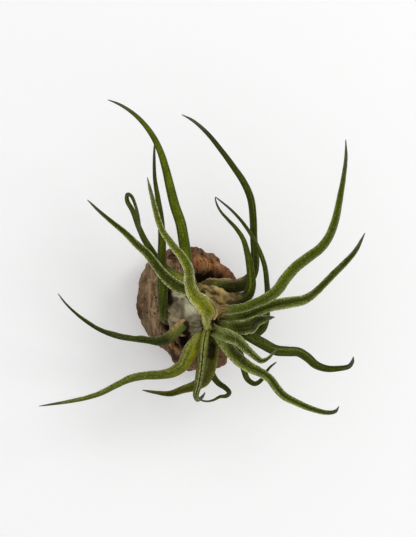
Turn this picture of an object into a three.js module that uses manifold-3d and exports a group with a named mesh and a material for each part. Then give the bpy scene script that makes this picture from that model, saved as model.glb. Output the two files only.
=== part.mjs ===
// An air plant (a tillandsia hybrid) grown on a knobbly lump of wood.
// Long channelled leaves twist out of a small bulb of overlapping leaf bases, and the bulb sits in a
// hollow on top of the wood. Units are millimetres, +Z is up, and the origin is the middle of the flat
// spot that the wood stands on. +Y is the side that most of the long leaves arch over.
import * as THREE from "three";
import { mergeVertices } from "three/addons/utils/BufferGeometryUtils.js";
import Module from "manifold-3d";

const wasm = await Module();
wasm.setup();

// The clear space left between neighbouring pieces, and the steps that curves are cut into
const GAP = 0.3;
const SECTION_LENGTH = 7.5;
const SECTION_TURN = THREE.MathUtils.degToRad(30);
const FINE_STEPS = 240;

// Finishes
const BULB_COLOUR = 0x7d7a5c;
const WOOD_COLOUR = 0x6b4a38;
const LEAF_ROUGHNESS = 0.6;
const SHEATH_ROUGHNESS = 0.85;
const WOOD_ROUGHNESS = 0.9;

// The wood: half its width, depth and height before its foot is cut flat, and its middle
const WOOD_RADII = new THREE.Vector3(23, 28, 17.5);
const WOOD_MIDDLE = new THREE.Vector3(0, 0, 11);
const WOOD_FACETS = 12;
const WOOD_FURROW = 0.45;
const WOOD_FURROWS = 11;

// Broad swells and hollows of the wood: [bearing, elevation, spread] in degrees from its middle, and
// the height
const WOOD_SWELLS = [
  [100, 20, 22, 1.2],
  [140, 26, 20, 2.0],
  [143, 0, 14, 1.6],
  [158, 2, 22, 0.8],
  [190, 30, 14, -1.4],
  [203, 2, 16, -2.6],
  [232, 8, 21, -7.0],
  [240, -20, 20, -2.4],
  [268, 12, 14, -1.2],
  [290, 28, 12, -2.0],
  [307, 4, 15, 4.6],
  [338, 16, 14, 1.6],
  [352, 2, 18, -1.6],
  [134, -16, 16, -1.6],
  [60, -18, 16, -1.8],
  [22, 30, 14, -2.2],
  [55, 60, 15, -3.2],
];

// Rounded knobs that stand shoulder to shoulder on it, in the same terms
const WOOD_KNOBS = [
  [69, 42, 13, 3.4],
  [50, 40, 11, 2.8],
  [54, 20, 10, 2.6],
  [58, 3, 9, 2.4],
  [76, 18, 12, 1.8],
  [80, 0, 10, 1.4],
  [40, 14, 10, 2.6],
  [31, 6, 10, 2.4],
  [93, 26, 10, 1.6],
  [108, 38, 11, 2.4],
  [28, -14, 12, 1.6],
  [106, 8, 12, 1.6],
  [128, 12, 13, 1.8],
  [146, 46, 12, 2.0],
  [168, 24, 13, 1.6],
  [196, 14, 10, 1.4],
  [246, 44, 9, 3.8],
  [256, 16, 9, 2.0],
  [274, -4, 12, 1.2],
  [310, -8, 12, 1.6],
  [336, -6, 12, 1.8],
];

// The bulb's heart: rings of [x, y, z, radius] from its foot in the wood to the growing point
const BULB_RINGS = [
  [7.0, 2.5, 20, 6.5],
  [7.5, 2.0, 25, 9.6],
  [8.0, 1.5, 30, 11.3],
  [8.5, 0.5, 36, 12.0],
  [9.3, -1.5, 41, 11.0],
  [10.2, -4.0, 45, 8.4],
  [11.0, -5.8, 47.4, 5.4],
  [11.4, -6.6, 48.8, 2.4],
];
const BULB_SIDES = 22;
const BULB_POINT = 0.8;

// Dry outer leaf bases round the bulb: the bearings that each spans, in degrees, and how far it stands
// off the bulb's heart, low to high
const SHEATH_WALL = 0.8;
const SHEATH_STEPS = 12;
const SHEATH_RIPPLE = 0.5;
const SHEATH_RIM_WAVE = 1.2;
const SHEATH_STATIONS = [27.6, 31.5, 35.5, 39.5, 43, 46];
const SHEATHS = {
  dry_sheath_left: {
    colour: 0x8c8474,
    from: 138,
    to: 232,
    stands_off: [1.2, 3.6, 4.6, 4.2, 3.0, 1.6],
    waves: 4,
  },
  dry_sheath_right: {
    colour: 0x9a8253,
    from: -24,
    to: 82,
    stands_off: [1.0, 2.6, 3.6, 3.6, 2.6, 1.4],
    waves: 5,
  },
};

// Leaf walls, the narrowest blade, and the point high above the plant that each channel opens towards
const LEAF_WALL = 0.95;
const LEAF_WALL_SHARE = 0.8;
const LEAF_SLIT_SHARE = 0.1;
const LEAF_LEAST_WIDTH = 1.3;
const LEAF_TIP_WIDTH = 0.7;
const CHANNEL_POINTS = 6;
const CHANNELS_FACE = new THREE.Vector3(11, -5, 320);

// The leaves, inner ones first: an outer leaf is cut clear of the inner ones that it meets. curl is half
// the arc of a blade's channel in degrees, so past 90 the blade is rolled into a tube with a slit.
// A route runs from the root, inside the bulb, to the tip, with [x, y, z, width, roll], where roll
// turns the channel about the blade, in degrees.
const LEAVES = {
  leaf_pale_middle: {
    colour: 0x6f8136,
    curl: 62,
    route: [
      [11.0, -8.0, 47, 4.0, 0],
      [9.6, -4.6, 52, 5.4, 0],
      [7.0, -0.6, 57, 6.8, 0],
      [3.9, 3.8, 62, 6.4, 0],
      [1.9, 8.4, 67, 5.6, 0],
      [1.3, 13.5, 72, 5.2, -5],
      [0.9, 19.0, 77, 4.8, -15],
      [-0.9, 24.2, 81, 4.4, -20],
      [-4.6, 28.2, 84, 3.8, -10],
      [-8.4, 32.8, 87, 3.3, 0],
      [-11.6, 37.4, 89.5, 2.6, 0],
      [-13.4, 42.6, 92, 2.2, 0],
      [-15.0, 49.2, 96.5, 1.8, 0],
      [-16.5, 55.0, 101, 1.3, 0],
      [-17.7, 60.4, 105, 0.7, 0],
    ],
  },
  leaf_short_folded: {
    colour: 0x51662c,
    curl: 68,
    route: [
      [12.5, -5.6, 48, 4.0, 0],
      [16.0, -6.4, 54.5, 4.6, 0],
      [20.5, -7.3, 60, 5.0, 0],
      [25.0, -7.9, 65, 5.6, 20],
      [28.8, -6.9, 69.5, 5.4, 40],
      [32.1, -4.6, 73, 4.4, 60],
      [35.2, -3.3, 76, 3.0, 60],
      [37.8, -2.9, 78, 1.8, 50],
      [40.1, -2.9, 80, 0.7, 50],
    ],
  },
  leaf_short_hooked: {
    colour: 0x5b7036,
    curl: 58,
    route: [
      [12.5, -7.0, 47, 4.0, 0],
      [15.6, -9.2, 53.5, 4.8, 0],
      [19.2, -11.4, 58.5, 5.0, 0],
      [23.4, -13.9, 62, 4.8, 0],
      [27.2, -17.2, 64.5, 4.4, 0],
      [30.8, -20.4, 66.5, 3.6, 0],
      [34.0, -22.8, 69, 2.6, 0],
      [36.9, -21.9, 71.5, 1.7, 0],
      [39.0, -19.8, 74, 1.2, 0],
      [41.0, -17.6, 77, 0.7, 0],
    ],
  },
  leaf_folded_front: {
    colour: 0x5f7330,
    curl: 122,
    route: [
      [10.5, -6.5, 47, 3.0, 0],
      [8.6, -11.0, 51.5, 3.4, 0],
      [7.6, -16.0, 53.5, 3.8, 0],
      [6.7, -22.0, 53, 4.0, -10],
      [5.8, -28.6, 50.5, 3.8, -15],
      [4.9, -34.6, 46.5, 3.4, -10],
      [4.1, -39.2, 42.5, 2.8, 0],
      [4.9, -41.3, 38.5, 2.0, 0],
      [6.9, -40.2, 35.5, 1.6, 0],
      [8.4, -37.9, 34.2, 0.9, 0],
    ],
  },
  leaf_lower_left_long: {
    colour: 0x66732a,
    curl: 108,
    route: [
      [9.0, -6.5, 46, 4.0, 50],
      [7.0, -10.0, 49, 4.8, 60],
      [4.8, -13.6, 51, 5.6, 70],
      [2.9, -17.5, 51, 5.9, 80],
      [1.2, -21.6, 50, 5.8, 90],
      [-1.5, -25.9, 48, 5.4, 95],
      [-6.0, -28.8, 46, 4.8, 100],
      [-12.5, -30.0, 44, 4.2, 100],
      [-19.5, -30.4, 42, 3.9, 100],
      [-26.5, -31.9, 41, 3.6, 100],
      [-32.8, -34.9, 41, 3.2, 100],
      [-39.5, -38.3, 42, 2.8, 100],
      [-46.5, -40.5, 44, 2.4, 100],
      [-54.0, -42.0, 48, 1.9, 100],
      [-61.5, -43.1, 53, 1.3, 100],
      [-68.0, -43.9, 58, 0.7, 100],
    ],
  },
  leaf_right_upper_long: {
    colour: 0x4f6428,
    curl: 75,
    route: [
      [12.0, -5.0, 47, 3.6, 0],
      [15.5, -1.6, 52.5, 4.0, 0],
      [20.5, 0.0, 56, 4.2, 0],
      [25.4, 1.1, 58.5, 4.3, 0],
      [30.4, 2.8, 60, 4.5, 0],
      [36.0, 5.2, 61, 4.9, 0],
      [41.4, 9.2, 61.5, 5.2, 0],
      [45.2, 14.6, 61, 5.2, 0],
      [50.0, 19.9, 60.5, 5.0, 0],
      [55.8, 24.4, 60, 4.8, 0],
      [61.2, 28.5, 60, 4.4, 0],
      [65.2, 33.9, 61.5, 3.8, 0],
      [68.3, 42.0, 64, 3.0, 20],
      [70.0, 51.0, 68, 2.4, 35],
      [71.3, 60.0, 73, 1.9, 35],
      [72.3, 69.2, 78, 1.4, 35],
      [72.1, 78.0, 82, 0.7, 35],
    ],
  },
  leaf_right_long: {
    colour: 0x4d6128,
    curl: 72,
    route: [
      [12.5, -6.0, 46, 3.6, 0],
      [16.5, -4.4, 50, 3.8, 0],
      [21.0, -4.0, 52.5, 3.8, 0],
      [26.0, -3.2, 54, 4.0, 0],
      [31.5, -1.0, 54.7, 4.4, 0],
      [37.0, 1.4, 54.5, 4.9, 0],
      [42.5, 2.8, 54, 5.4, 0],
      [48.0, 3.7, 52.5, 5.2, 0],
      [53.8, 4.8, 51, 4.5, 0],
      [58.3, 7.6, 50.8, 3.7, 0],
      [62.5, 11.6, 51.5, 3.1, 0],
      [67.4, 16.7, 53.5, 2.8, 0],
      [72.7, 21.7, 56, 2.4, 0],
      [77.3, 26.8, 60, 1.8, 0],
      [81.5, 34.4, 65, 0.7, 0],
    ],
  },
  leaf_lower_right_long: {
    colour: 0x566b31,
    curl: 66,
    route: [
      [12.0, -7.0, 45, 4.2, 0],
      [14.6, -11.0, 48.5, 5.2, 0],
      [17.3, -15.0, 50, 5.8, 0],
      [20.6, -19.4, 50, 5.9, 0],
      [24.6, -23.4, 49, 5.8, 0],
      [29.4, -26.6, 47, 5.1, 0],
      [34.4, -29.0, 45.3, 4.2, 0],
      [38.2, -31.8, 43.5, 4.0, 0],
      [41.2, -35.8, 42, 4.1, 0],
      [44.6, -39.5, 40.5, 3.8, 0],
      [50.0, -42.4, 39.5, 3.3, 0],
      [57.0, -45.4, 39, 2.8, 0],
      [64.0, -47.4, 40.5, 2.3, 0],
      [68.2, -46.6, 44, 1.8, 0],
      [69.9, -44.0, 48, 0.8, 0],
    ],
  },
  leaf_broad_front: {
    colour: 0x4a5c2b,
    curl: 66,
    route: [
      [11.8, -7.0, 42.5, 4.6, 0],
      [12.6, -12.0, 46.3, 5.6, 0],
      [12.5, -16.5, 47, 6.3, 0],
      [11.8, -21.5, 45, 6.5, 0],
      [10.8, -27.3, 41, 6.4, 0],
      [8.4, -32.6, 36, 5.6, 0],
      [4.0, -35.2, 32.5, 4.6, 0],
      [-1.2, -36.8, 31.5, 3.6, 0],
      [-6.8, -38.6, 32.5, 2.8, 0],
      [-12.6, -38.2, 36, 1.9, 0],
      [-20.0, -36.8, 41, 0.7, 0],
    ],
  },
  leaf_inner_thin: {
    colour: 0x4b5a2c,
    curl: 72,
    route: [
      [6.0, 4.0, 40, 5.0, 180],
      [8.0, 8.0, 44.5, 7.2, 180],
      [12.7, 8.2, 46.8, 8.2, 180],
      [18.0, 6.8, 48.2, 7.4, 180],
      [23.5, 6.2, 49.2, 5.6, 180],
      [27.3, 8.4, 50, 4.4, 180],
      [28.6, 13.0, 51.5, 3.7, 180],
      [28.5, 20.0, 54, 3.2, 180],
      [27.5, 26.6, 57, 2.8, 180],
      [25.7, 32.4, 59.5, 2.3, 180],
      [22.6, 37.2, 62, 1.9, 180],
      [18.7, 41.4, 66, 1.5, 180],
      [15.4, 45.1, 70, 1.2, 180],
      [13.6, 48.5, 73, 0.9, 180],
      [12.8, 51.7, 76, 0.7, 180],
    ],
  },
  leaf_upper_left: {
    colour: 0x4a5f26,
    curl: 74,
    route: [
      [7.5, 3.5, 45, 4.2, 0],
      [2.0, 8.2, 51.5, 5.2, 0],
      [-4.5, 11.0, 55.5, 5.8, 0],
      [-9.4, 14.8, 58, 5.2, 0],
      [-14.0, 20.4, 60, 4.4, 0],
      [-18.2, 25.9, 62, 3.8, 0],
      [-22.8, 30.1, 65, 3.4, 0],
      [-28.4, 35.6, 68, 2.8, 0],
      [-34.2, 40.4, 72, 2.2, 0],
      [-39.6, 45.0, 77, 1.6, 0],
      [-45.2, 50.4, 83, 0.7, 0],
    ],
  },
  leaf_left_low: {
    colour: 0x3e4e22,
    curl: 108,
    route: [
      [3.0, -4.0, 36, 3.8, 60],
      [-0.5, -8.5, 38, 4.6, 60],
      [-3.6, -12.0, 38.5, 5.0, 65],
      [-7.0, -14.6, 38.5, 5.0, 75],
      [-11.6, -15.1, 38, 4.4, 90],
      [-17.6, -14.1, 37, 3.6, 100],
      [-24.0, -13.4, 36, 3.2, 100],
      [-31.6, -12.3, 36, 2.8, 100],
      [-39.2, -9.6, 38, 2.4, 100],
      [-45.9, -5.6, 41, 2.0, 100],
      [-51.4, -1.3, 45, 1.6, 100],
      [-56.0, 3.4, 50, 1.1, 100],
      [-59.2, 7.8, 55, 0.7, 100],
    ],
  },
  leaf_right_low: {
    colour: 0x3f4e20,
    curl: 105,
    route: [
      [14.0, -3.0, 37, 4.0, 180],
      [22.0, -8.0, 40, 4.4, 180],
      [29.0, -12.2, 42, 5.0, 180],
      [34.6, -15.3, 42, 5.2, 180],
      [40.6, -18.4, 41.5, 5.0, 180],
      [46.3, -19.0, 40, 4.6, 180],
      [51.2, -19.4, 38, 4.4, 180],
      [55.4, -21.9, 36, 4.3, 180],
      [59.2, -25.2, 35, 3.9, 180],
      [64.2, -27.0, 35, 3.2, 180],
      [70.0, -26.9, 37, 2.6, 180],
      [74.2, -26.0, 40, 2.2, 180],
      [75.9, -23.8, 43.5, 1.7, 180],
      [76.4, -21.2, 47, 0.8, 180],
    ],
  },
  leaf_top_right_long: {
    colour: 0x3f4f1d,
    curl: 95,
    route: [
      [6.0, 7.0, 39, 4.0, 180],
      [9.0, 11.6, 42.2, 4.8, 180],
      [14.5, 12.9, 43, 5.0, 180],
      [20.0, 12.7, 43, 5.0, 180],
      [25.3, 13.3, 43, 4.8, 180],
      [29.6, 16.2, 44, 4.4, 180],
      [31.2, 21.0, 45.5, 4.0, 180],
      [31.1, 26.5, 47.5, 3.7, 180],
      [30.6, 33.0, 50, 3.4, 180],
      [30.3, 41.5, 54, 3.4, 180],
      [29.2, 50.5, 58.5, 3.2, 180],
      [25.9, 57.6, 63, 2.8, 180],
      [20.9, 64.6, 67.5, 2.4, 180],
      [15.3, 72.0, 73, 2.1, 180],
      [8.9, 79.9, 79.5, 1.7, 180],
      [2.6, 85.5, 85, 1.2, 180],
      [-2.6, 88.9, 89, 0.7, 180],
    ],
  },
  leaf_top_long: {
    colour: 0x48591c,
    curl: 105,
    route: [
      [7.0, 6.0, 33, 4.4, 180],
      [3.6, 12.0, 36.5, 5.0, 180],
      [1.4, 18.0, 41, 5.0, 180],
      [-0.2, 24.5, 45, 4.8, 180],
      [-1.3, 31.0, 48.5, 4.5, 180],
      [-3.2, 39.5, 52, 4.1, 180],
      [-6.0, 48.0, 55, 3.5, 180],
      [-7.8, 56.0, 58, 3.2, 180],
      [-9.6, 64.4, 62, 2.9, 180],
      [-12.0, 72.2, 66, 2.7, 180],
      [-15.5, 79.4, 71, 2.5, 180],
      [-20.2, 85.6, 76, 2.2, 180],
      [-25.6, 90.4, 82, 1.7, 180],
      [-31.0, 93.6, 87, 1.2, 180],
      [-36.0, 95.5, 91, 0.7, 180],
    ],
  },
  leaf_left_upright: {
    colour: 0x38491f,
    curl: 105,
    route: [
      [3.0, -3.0, 31, 3.6, 60],
      [-3.6, -8.8, 32, 4.0, 70],
      [-8.0, -8.8, 33, 4.2, 80],
      [-10.6, -5.2, 35, 4.2, 100],
      [-11.5, 0.0, 37, 3.9, 120],
      [-11.9, 7.0, 39, 3.4, 140],
      [-11.8, 16.0, 42, 3.2, 160],
      [-11.5, 25.0, 45, 3.2, 180],
      [-11.4, 33.0, 48, 2.9, 180],
      [-12.0, 42.5, 51.5, 2.5, 180],
      [-13.3, 51.5, 55, 2.0, 180],
      [-14.6, 60.0, 58, 1.6, 180],
      [-15.0, 68.0, 60, 1.3, 180],
      [-14.9, 76.3, 62, 0.7, 180],
    ],
  },
  leaf_bottom_curl: {
    colour: 0x35421f,
    curl: 105,
    route: [
      [10.5, -5.0, 33, 3.2, 180],
      [11.0, -14.0, 33, 3.1, 180],
      [11.0, -22.0, 31.5, 3.1, 180],
      [11.6, -29.5, 28.5, 3.0, 180],
      [14.3, -33.6, 28, 2.8, 180],
      [17.6, -35.9, 29.5, 2.4, 180],
      [19.4, -38.0, 32.5, 2.2, 180],
      [18.0, -39.6, 35.5, 1.9, 180],
      [15.2, -39.9, 37.5, 1.5, 180],
      [12.4, -41.3, 40, 1.1, 180],
      [9.4, -41.9, 43.5, 0.9, 180],
      [6.6, -41.3, 46, 0.9, 180],
      [5.2, -39.6, 48, 0.7, 180],
    ],
  },
  leaf_small_hook: {
    colour: 0x3b4923,
    curl: 105,
    route: [
      [15.0, -3.0, 32, 3.0, 180],
      [21.0, -11.0, 34, 3.2, 180],
      [24.4, -20.0, 35.5, 3.2, 180],
      [26.2, -27.5, 36, 2.9, 180],
      [27.8, -31.8, 37, 2.6, 180],
      [31.2, -33.9, 39, 2.3, 180],
      [34.3, -32.0, 41, 1.9, 180],
      [36.0, -29.0, 42, 1.5, 180],
      [38.2, -26.2, 44, 1.1, 180],
      [41.2, -23.7, 48, 0.7, 180],
    ],
  },
  leaf_outer_thin: {
    colour: 0x34431c,
    curl: 105,
    route: [
      [16.0, -2.0, 30, 3.4, 180],
      [24.0, -7.5, 28.5, 3.8, 180],
      [30.5, -10.8, 28.5, 4.2, 180],
      [35.0, -9.2, 30.5, 4.0, 180],
      [37.4, -5.0, 33.5, 3.7, 180],
      [38.2, 0.5, 37.5, 3.2, 180],
      [37.9, 6.0, 42, 2.8, 180],
      [37.0, 12.5, 48, 2.5, 180],
      [35.6, 20.0, 54.5, 2.3, 180],
      [33.0, 27.4, 61, 2.1, 180],
      [29.3, 34.4, 67.5, 1.8, 180],
      [24.9, 40.6, 73.5, 1.5, 180],
      [20.2, 45.6, 79.5, 1.2, 180],
      [15.9, 49.2, 85, 0.9, 180],
      [12.7, 51.7, 89, 0.7, 180],
    ],
  },
  leaf_looped: {
    colour: 0x303f17,
    curl: 105,
    route: [
      [3.0, 6.0, 33, 3.2, 180],
      [-4.0, 11.5, 34, 3.4, 180],
      [-9.0, 17.0, 34.5, 3.5, 180],
      [-13.0, 22.5, 36, 3.5, 180],
      [-16.2, 27.6, 39.5, 3.3, 180],
      [-19.0, 32.6, 44, 3.0, 180],
      [-21.8, 38.2, 49, 2.7, 180],
      [-24.8, 45.2, 55, 2.3, 180],
      [-27.1, 50.2, 60.5, 1.9, 180],
      [-26.9, 52.8, 64, 1.6, 180],
      [-25.2, 52.0, 66.5, 1.5, 180],
      [-23.0, 46.0, 67.5, 1.4, 180],
      [-21.2, 39.2, 66, 1.1, 180],
      [-21.0, 33.0, 63, 0.7, 180],
    ],
  },
};

// Solids

function solidFrom(geometry) {
  const bare = geometry.clone();
  bare.deleteAttribute("normal");
  bare.deleteAttribute("uv");
  const merged = mergeVertices(bare, 1e-4);
  const solid = new wasm.Manifold(
    new wasm.Mesh({
      numProp: 3,
      vertProperties: new Float32Array(merged.attributes.position.array),
      triVerts: new Uint32Array(merged.index.array),
    }),
  );
  return solid;
}

function geometryFrom(solid) {
  const mesh = solid.getMesh();
  return new THREE.BufferGeometry()
    .setAttribute("position", new THREE.BufferAttribute(mesh.vertProperties, 3))
    .setIndex(new THREE.BufferAttribute(mesh.triVerts, 1));
}

function largestBody(solid) {
  return solid.decompose().sort((a, b) => b.volume() - a.volume())[0];
}

function closedSurface(points, faces) {
  const geometry = new THREE.BufferGeometry()
    .setAttribute("position", new THREE.Float32BufferAttribute(points.flat(), 3))
    .setIndex(faces.flat());
  return solidFrom(geometry);
}

// A wall between two like grids of points: outer[row][column] over inner[row][column], closed all round.
// Both faces are split along the same diagonal, so that a waved wall doesn't cross itself.
function wallBetween(outer, inner) {
  const rows = outer.length;
  const columns = outer[0].length;
  const points = [...outer.flat(), ...inner.flat()];
  const out = (row, column) => row * columns + column;
  const into = (row, column) => rows * columns + row * columns + column;
  const faces = [];
  const quad = (a, b, c, d) => faces.push([a, b, c], [a, c, d]);
  for (let row = 0; row + 1 < rows; row++) {
    for (let k = 0; k + 1 < columns; k++) {
      quad(out(row, k), out(row, k + 1), out(row + 1, k + 1), out(row + 1, k));
      faces.push([into(row, k), into(row + 1, k + 1), into(row, k + 1)]);
      faces.push([into(row, k), into(row + 1, k), into(row + 1, k + 1)]);
    }
    quad(out(row, 0), out(row + 1, 0), into(row + 1, 0), into(row, 0));
    const end = columns - 1;
    quad(out(row, end), into(row, end), into(row + 1, end), out(row + 1, end));
  }
  for (let k = 0; k + 1 < columns; k++) {
    const top = rows - 1;
    quad(out(0, k), into(0, k), into(0, k + 1), out(0, k + 1));
    quad(out(top, k), out(top, k + 1), into(top, k + 1), into(top, k));
  }
  return closedSurface(points, faces);
}

// The wood

// How far a direction lies from a knob or swell, as a share of its spread.
function shareOfSpread(direction, [bearing, elevation, spread]) {
  const [turn, lift] = [bearing, elevation].map(THREE.MathUtils.degToRad);
  const level = Math.cos(lift);
  const towards = new THREE.Vector3(level * Math.cos(turn), level * Math.sin(turn), Math.sin(lift));
  return THREE.MathUtils.radToDeg(direction.angleTo(towards)) / spread;
}

// The wood's height over its rounded body. Knobs don't add up: the higher one shows, with a crease
// between them.
function woodRelief(direction) {
  let swell = 0;
  for (const place of WOOD_SWELLS) {
    swell += place[3] * Math.exp(-(shareOfSpread(direction, place) ** 2));
  }
  let knob = 0;
  for (const place of WOOD_KNOBS) {
    const share = shareOfSpread(direction, place);
    if (share < 1) knob = Math.max(knob, place[3] * Math.sqrt(1 - share * share));
  }
  const bearing = Math.atan2(direction.y, direction.x);
  const furrow = Math.sin(WOOD_FURROWS * bearing + 5 * direction.z) * (1 - direction.z * direction.z);
  return swell + knob + WOOD_FURROW * furrow;
}

function woodSolid() {
  const geometry = new THREE.IcosahedronGeometry(1, WOOD_FACETS);
  const corners = geometry.getAttribute("position");
  const direction = new THREE.Vector3();
  for (let i = 0; i < corners.count; i++) {
    direction.fromBufferAttribute(corners, i).normalize();
    const rounded = direction.clone().multiply(WOOD_RADII);
    rounded.addScaledVector(direction, woodRelief(direction)).add(WOOD_MIDDLE);
    corners.setXYZ(i, rounded.x, rounded.y, rounded.z);
  }
  const reach = 4 * WOOD_RADII.y;
  const ground = new THREE.BoxGeometry(reach, reach, reach).translate(0, 0, -reach / 2);
  return solidFrom(geometry).subtract(solidFrom(ground));
}

// The bulb and its dry sheaths

// The heart's middle and radius at a height, from the two rings that it lies between.
function bulbAt(height) {
  const above = BULB_RINGS.findIndex(([, , z]) => z >= height);
  const last = BULB_RINGS.length - 1;
  const upper = above < 0 ? last : Math.max(above, 1);
  const low = BULB_RINGS[upper - 1];
  const high = BULB_RINGS[upper];
  const share = THREE.MathUtils.clamp((height - low[2]) / (high[2] - low[2]), 0, 1);
  const [x, y, , radius] = low.map((value, i) => THREE.MathUtils.lerp(value, high[i], share));
  return { x, y, radius };
}

function bulbSolid(grow = 0) {
  const points = [];
  const faces = [];
  for (const [x, y, z, radius] of BULB_RINGS) {
    for (let side = 0; side < BULB_SIDES; side++) {
      const bearing = (2 * Math.PI * side) / BULB_SIDES;
      const reach = radius + grow;
      points.push([x + reach * Math.cos(bearing), y + reach * Math.sin(bearing), z]);
    }
  }
  const [foot, crown] = [BULB_RINGS[0], BULB_RINGS.at(-1)];
  const footPoint = points.push([foot[0], foot[1], foot[2] - grow]) - 1;
  const crownPoint = points.push([crown[0], crown[1], crown[2] + BULB_POINT + grow]) - 1;
  const top = (BULB_RINGS.length - 1) * BULB_SIDES;
  for (let side = 0; side < BULB_SIDES; side++) {
    const next = (side + 1) % BULB_SIDES;
    for (let ring = 0; ring < top; ring += BULB_SIDES) {
      faces.push([ring + side, ring + next, ring + BULB_SIDES + next]);
      faces.push([ring + side, ring + BULB_SIDES + next, ring + BULB_SIDES + side]);
    }
    faces.push([footPoint, next, side]);
    faces.push([crownPoint, top + side, top + next]);
  }
  return closedSurface(points, faces);
}

// A dry sheath: a thin papery wall round part of the bulb, standing off it, and rippled more towards
// its rim.
function sheathSolid({ from, to, stands_off, waves }, grow = 0) {
  const [outer, inner] = [[], []];
  SHEATH_STATIONS.forEach((height, row) => {
    const { x, y, radius } = bulbAt(height);
    const towardsRim = row / SHEATH_STATIONS.length;
    outer.push([]);
    inner.push([]);
    for (let k = 0; k <= SHEATH_STEPS; k++) {
      const share = k / SHEATH_STEPS;
      const bearing = THREE.MathUtils.degToRad(THREE.MathUtils.lerp(from, to, share));
      const ripple = SHEATH_RIPPLE * towardsRim * Math.sin(2 * Math.PI * waves * share + row);
      const base = radius + GAP + stands_off[row] + ripple;
      const z = height + SHEATH_RIM_WAVE * towardsRim * Math.sin(Math.PI * waves * share);
      const place = (reach) => [x + reach * Math.cos(bearing), y + reach * Math.sin(bearing), z];
      outer[row].push(place(base + SHEATH_WALL + grow));
      inner[row].push(place(base - grow));
    }
  });
  return wallBetween(outer, inner);
}

// The leaves

// Where a blade's sections lie along its route: closer together where it bends more.
function sectionPlaces(curve) {
  const cost = [0];
  let before = { point: curve.getPoint(0), heading: curve.getTangent(0) };
  for (let i = 1; i <= FINE_STEPS; i++) {
    const now = { point: curve.getPoint(i / FINE_STEPS), heading: curve.getTangent(i / FINE_STEPS) };
    const length = now.point.distanceTo(before.point) / SECTION_LENGTH;
    cost.push(cost.at(-1) + length + now.heading.angleTo(before.heading) / SECTION_TURN);
    before = now;
  }
  const steps = Math.ceil(cost.at(-1));
  const places = [];
  for (let step = 0; step <= steps; step++) {
    const wanted = (cost.at(-1) * step) / steps;
    const i = Math.max(1, cost.findIndex((c) => c >= wanted - 1e-9));
    const share = (wanted - cost[i - 1]) / (cost[i] - cost[i - 1]);
    places.push((i - 1 + share) / FINE_STEPS);
  }
  return places;
}

// A value of the route, such as its width, at a place from 0 at the root to 1 at the tip.
function routeValue(route, column, place) {
  const at = place * (route.length - 1);
  const i = Math.min(Math.floor(at), route.length - 2);
  return THREE.MathUtils.lerp(route[i][column], route[i + 1][column], at - i);
}

// One leaf: a channelled blade swept along its route. grow makes it stouter all round, to cut clearance.
function leafSolid({ curl, route }, grow = 0) {
  const curve = new THREE.CatmullRomCurve3(route.map(([x, y, z]) => new THREE.Vector3(x, y, z)));
  const places = sectionPlaces(curve);
  const [outer, inner] = [[], []];
  for (const place of places) {
    const middle = curve.getPoint(place);
    const heading = curve.getTangent(place);
    const ends = place === 0 ? -grow : place === 1 ? grow : 0;
    middle.addScaledVector(heading, ends);
    const opening = CHANNELS_FACE.clone().sub(middle);
    opening.addScaledVector(heading, -opening.dot(heading)).normalize();
    const roll = THREE.MathUtils.degToRad(routeValue(route, 4, place));
    opening.applyAxisAngle(heading, roll);
    const side = new THREE.Vector3().crossVectors(opening, heading);
    const least = place === 1 ? LEAF_TIP_WIDTH : LEAF_LEAST_WIDTH;
    const width = Math.max(least, routeValue(route, 3, place));
    const arc = THREE.MathUtils.degToRad(curl);
    const radius = width / 2 / Math.sin(Math.min(arc, Math.PI / 2));
    const wall = Math.min(LEAF_WALL, LEAF_WALL_SHARE * radius);
    const lift = (radius * (1 + Math.cos(arc))) / 2;
    const ring = (reach, halfArc) =>
      Array.from({ length: CHANNEL_POINTS }, (_, k) => {
        const angle = halfArc * ((2 * k) / (CHANNEL_POINTS - 1) - 1);
        return middle
          .clone()
          .addScaledVector(side, reach * Math.sin(angle))
          .addScaledVector(opening, lift - reach * Math.cos(angle))
          .toArray();
      });
    const halfArc = arc + grow / radius;
    outer.push(ring(radius + grow, halfArc));
    inner.push(ring(Math.max(radius - wall - grow, LEAF_SLIT_SHARE * radius), halfArc));
  }
  return wallBetween(outer, inner);
}

// The plant: each piece is cut clear of the room that earlier ones take, and its largest body is kept

const plant = new THREE.Group();
const rooms = [];

function addPiece(name, { solid, room, colour, roughness }) {
  const clear = rooms.reduce((left, other) => left.subtract(other), solid);
  const material = new THREE.MeshStandardMaterial({ color: colour, roughness, metalness: 0 });
  const mesh = new THREE.Mesh(geometryFrom(largestBody(clear)), material);
  mesh.name = name;
  plant.add(mesh);
  rooms.push(room);
}

addPiece("bulb_heart", {
  solid: bulbSolid(),
  room: bulbSolid(GAP),
  colour: BULB_COLOUR,
  roughness: SHEATH_ROUGHNESS,
});

for (const [name, leaf] of Object.entries(LEAVES)) {
  addPiece(name, {
    solid: leafSolid(leaf),
    room: leafSolid(leaf, GAP),
    colour: leaf.colour,
    roughness: LEAF_ROUGHNESS,
  });
}

for (const [name, sheath] of Object.entries(SHEATHS)) {
  addPiece(name, {
    solid: sheathSolid(sheath),
    room: sheathSolid(sheath, GAP),
    colour: sheath.colour,
    roughness: SHEATH_ROUGHNESS,
  });
}

const wood = woodSolid();
addPiece("wood_lump", { solid: wood, room: wood, colour: WOOD_COLOUR, roughness: WOOD_ROUGHNESS });

export default plant;
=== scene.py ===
import logging
import math
from dataclasses import dataclass
from enum import Enum

import bmesh
import bpy
import numpy as np
from bpy.types import Material, Mesh, NodeSocket, NodeTree, Object
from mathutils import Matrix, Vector, noise


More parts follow.
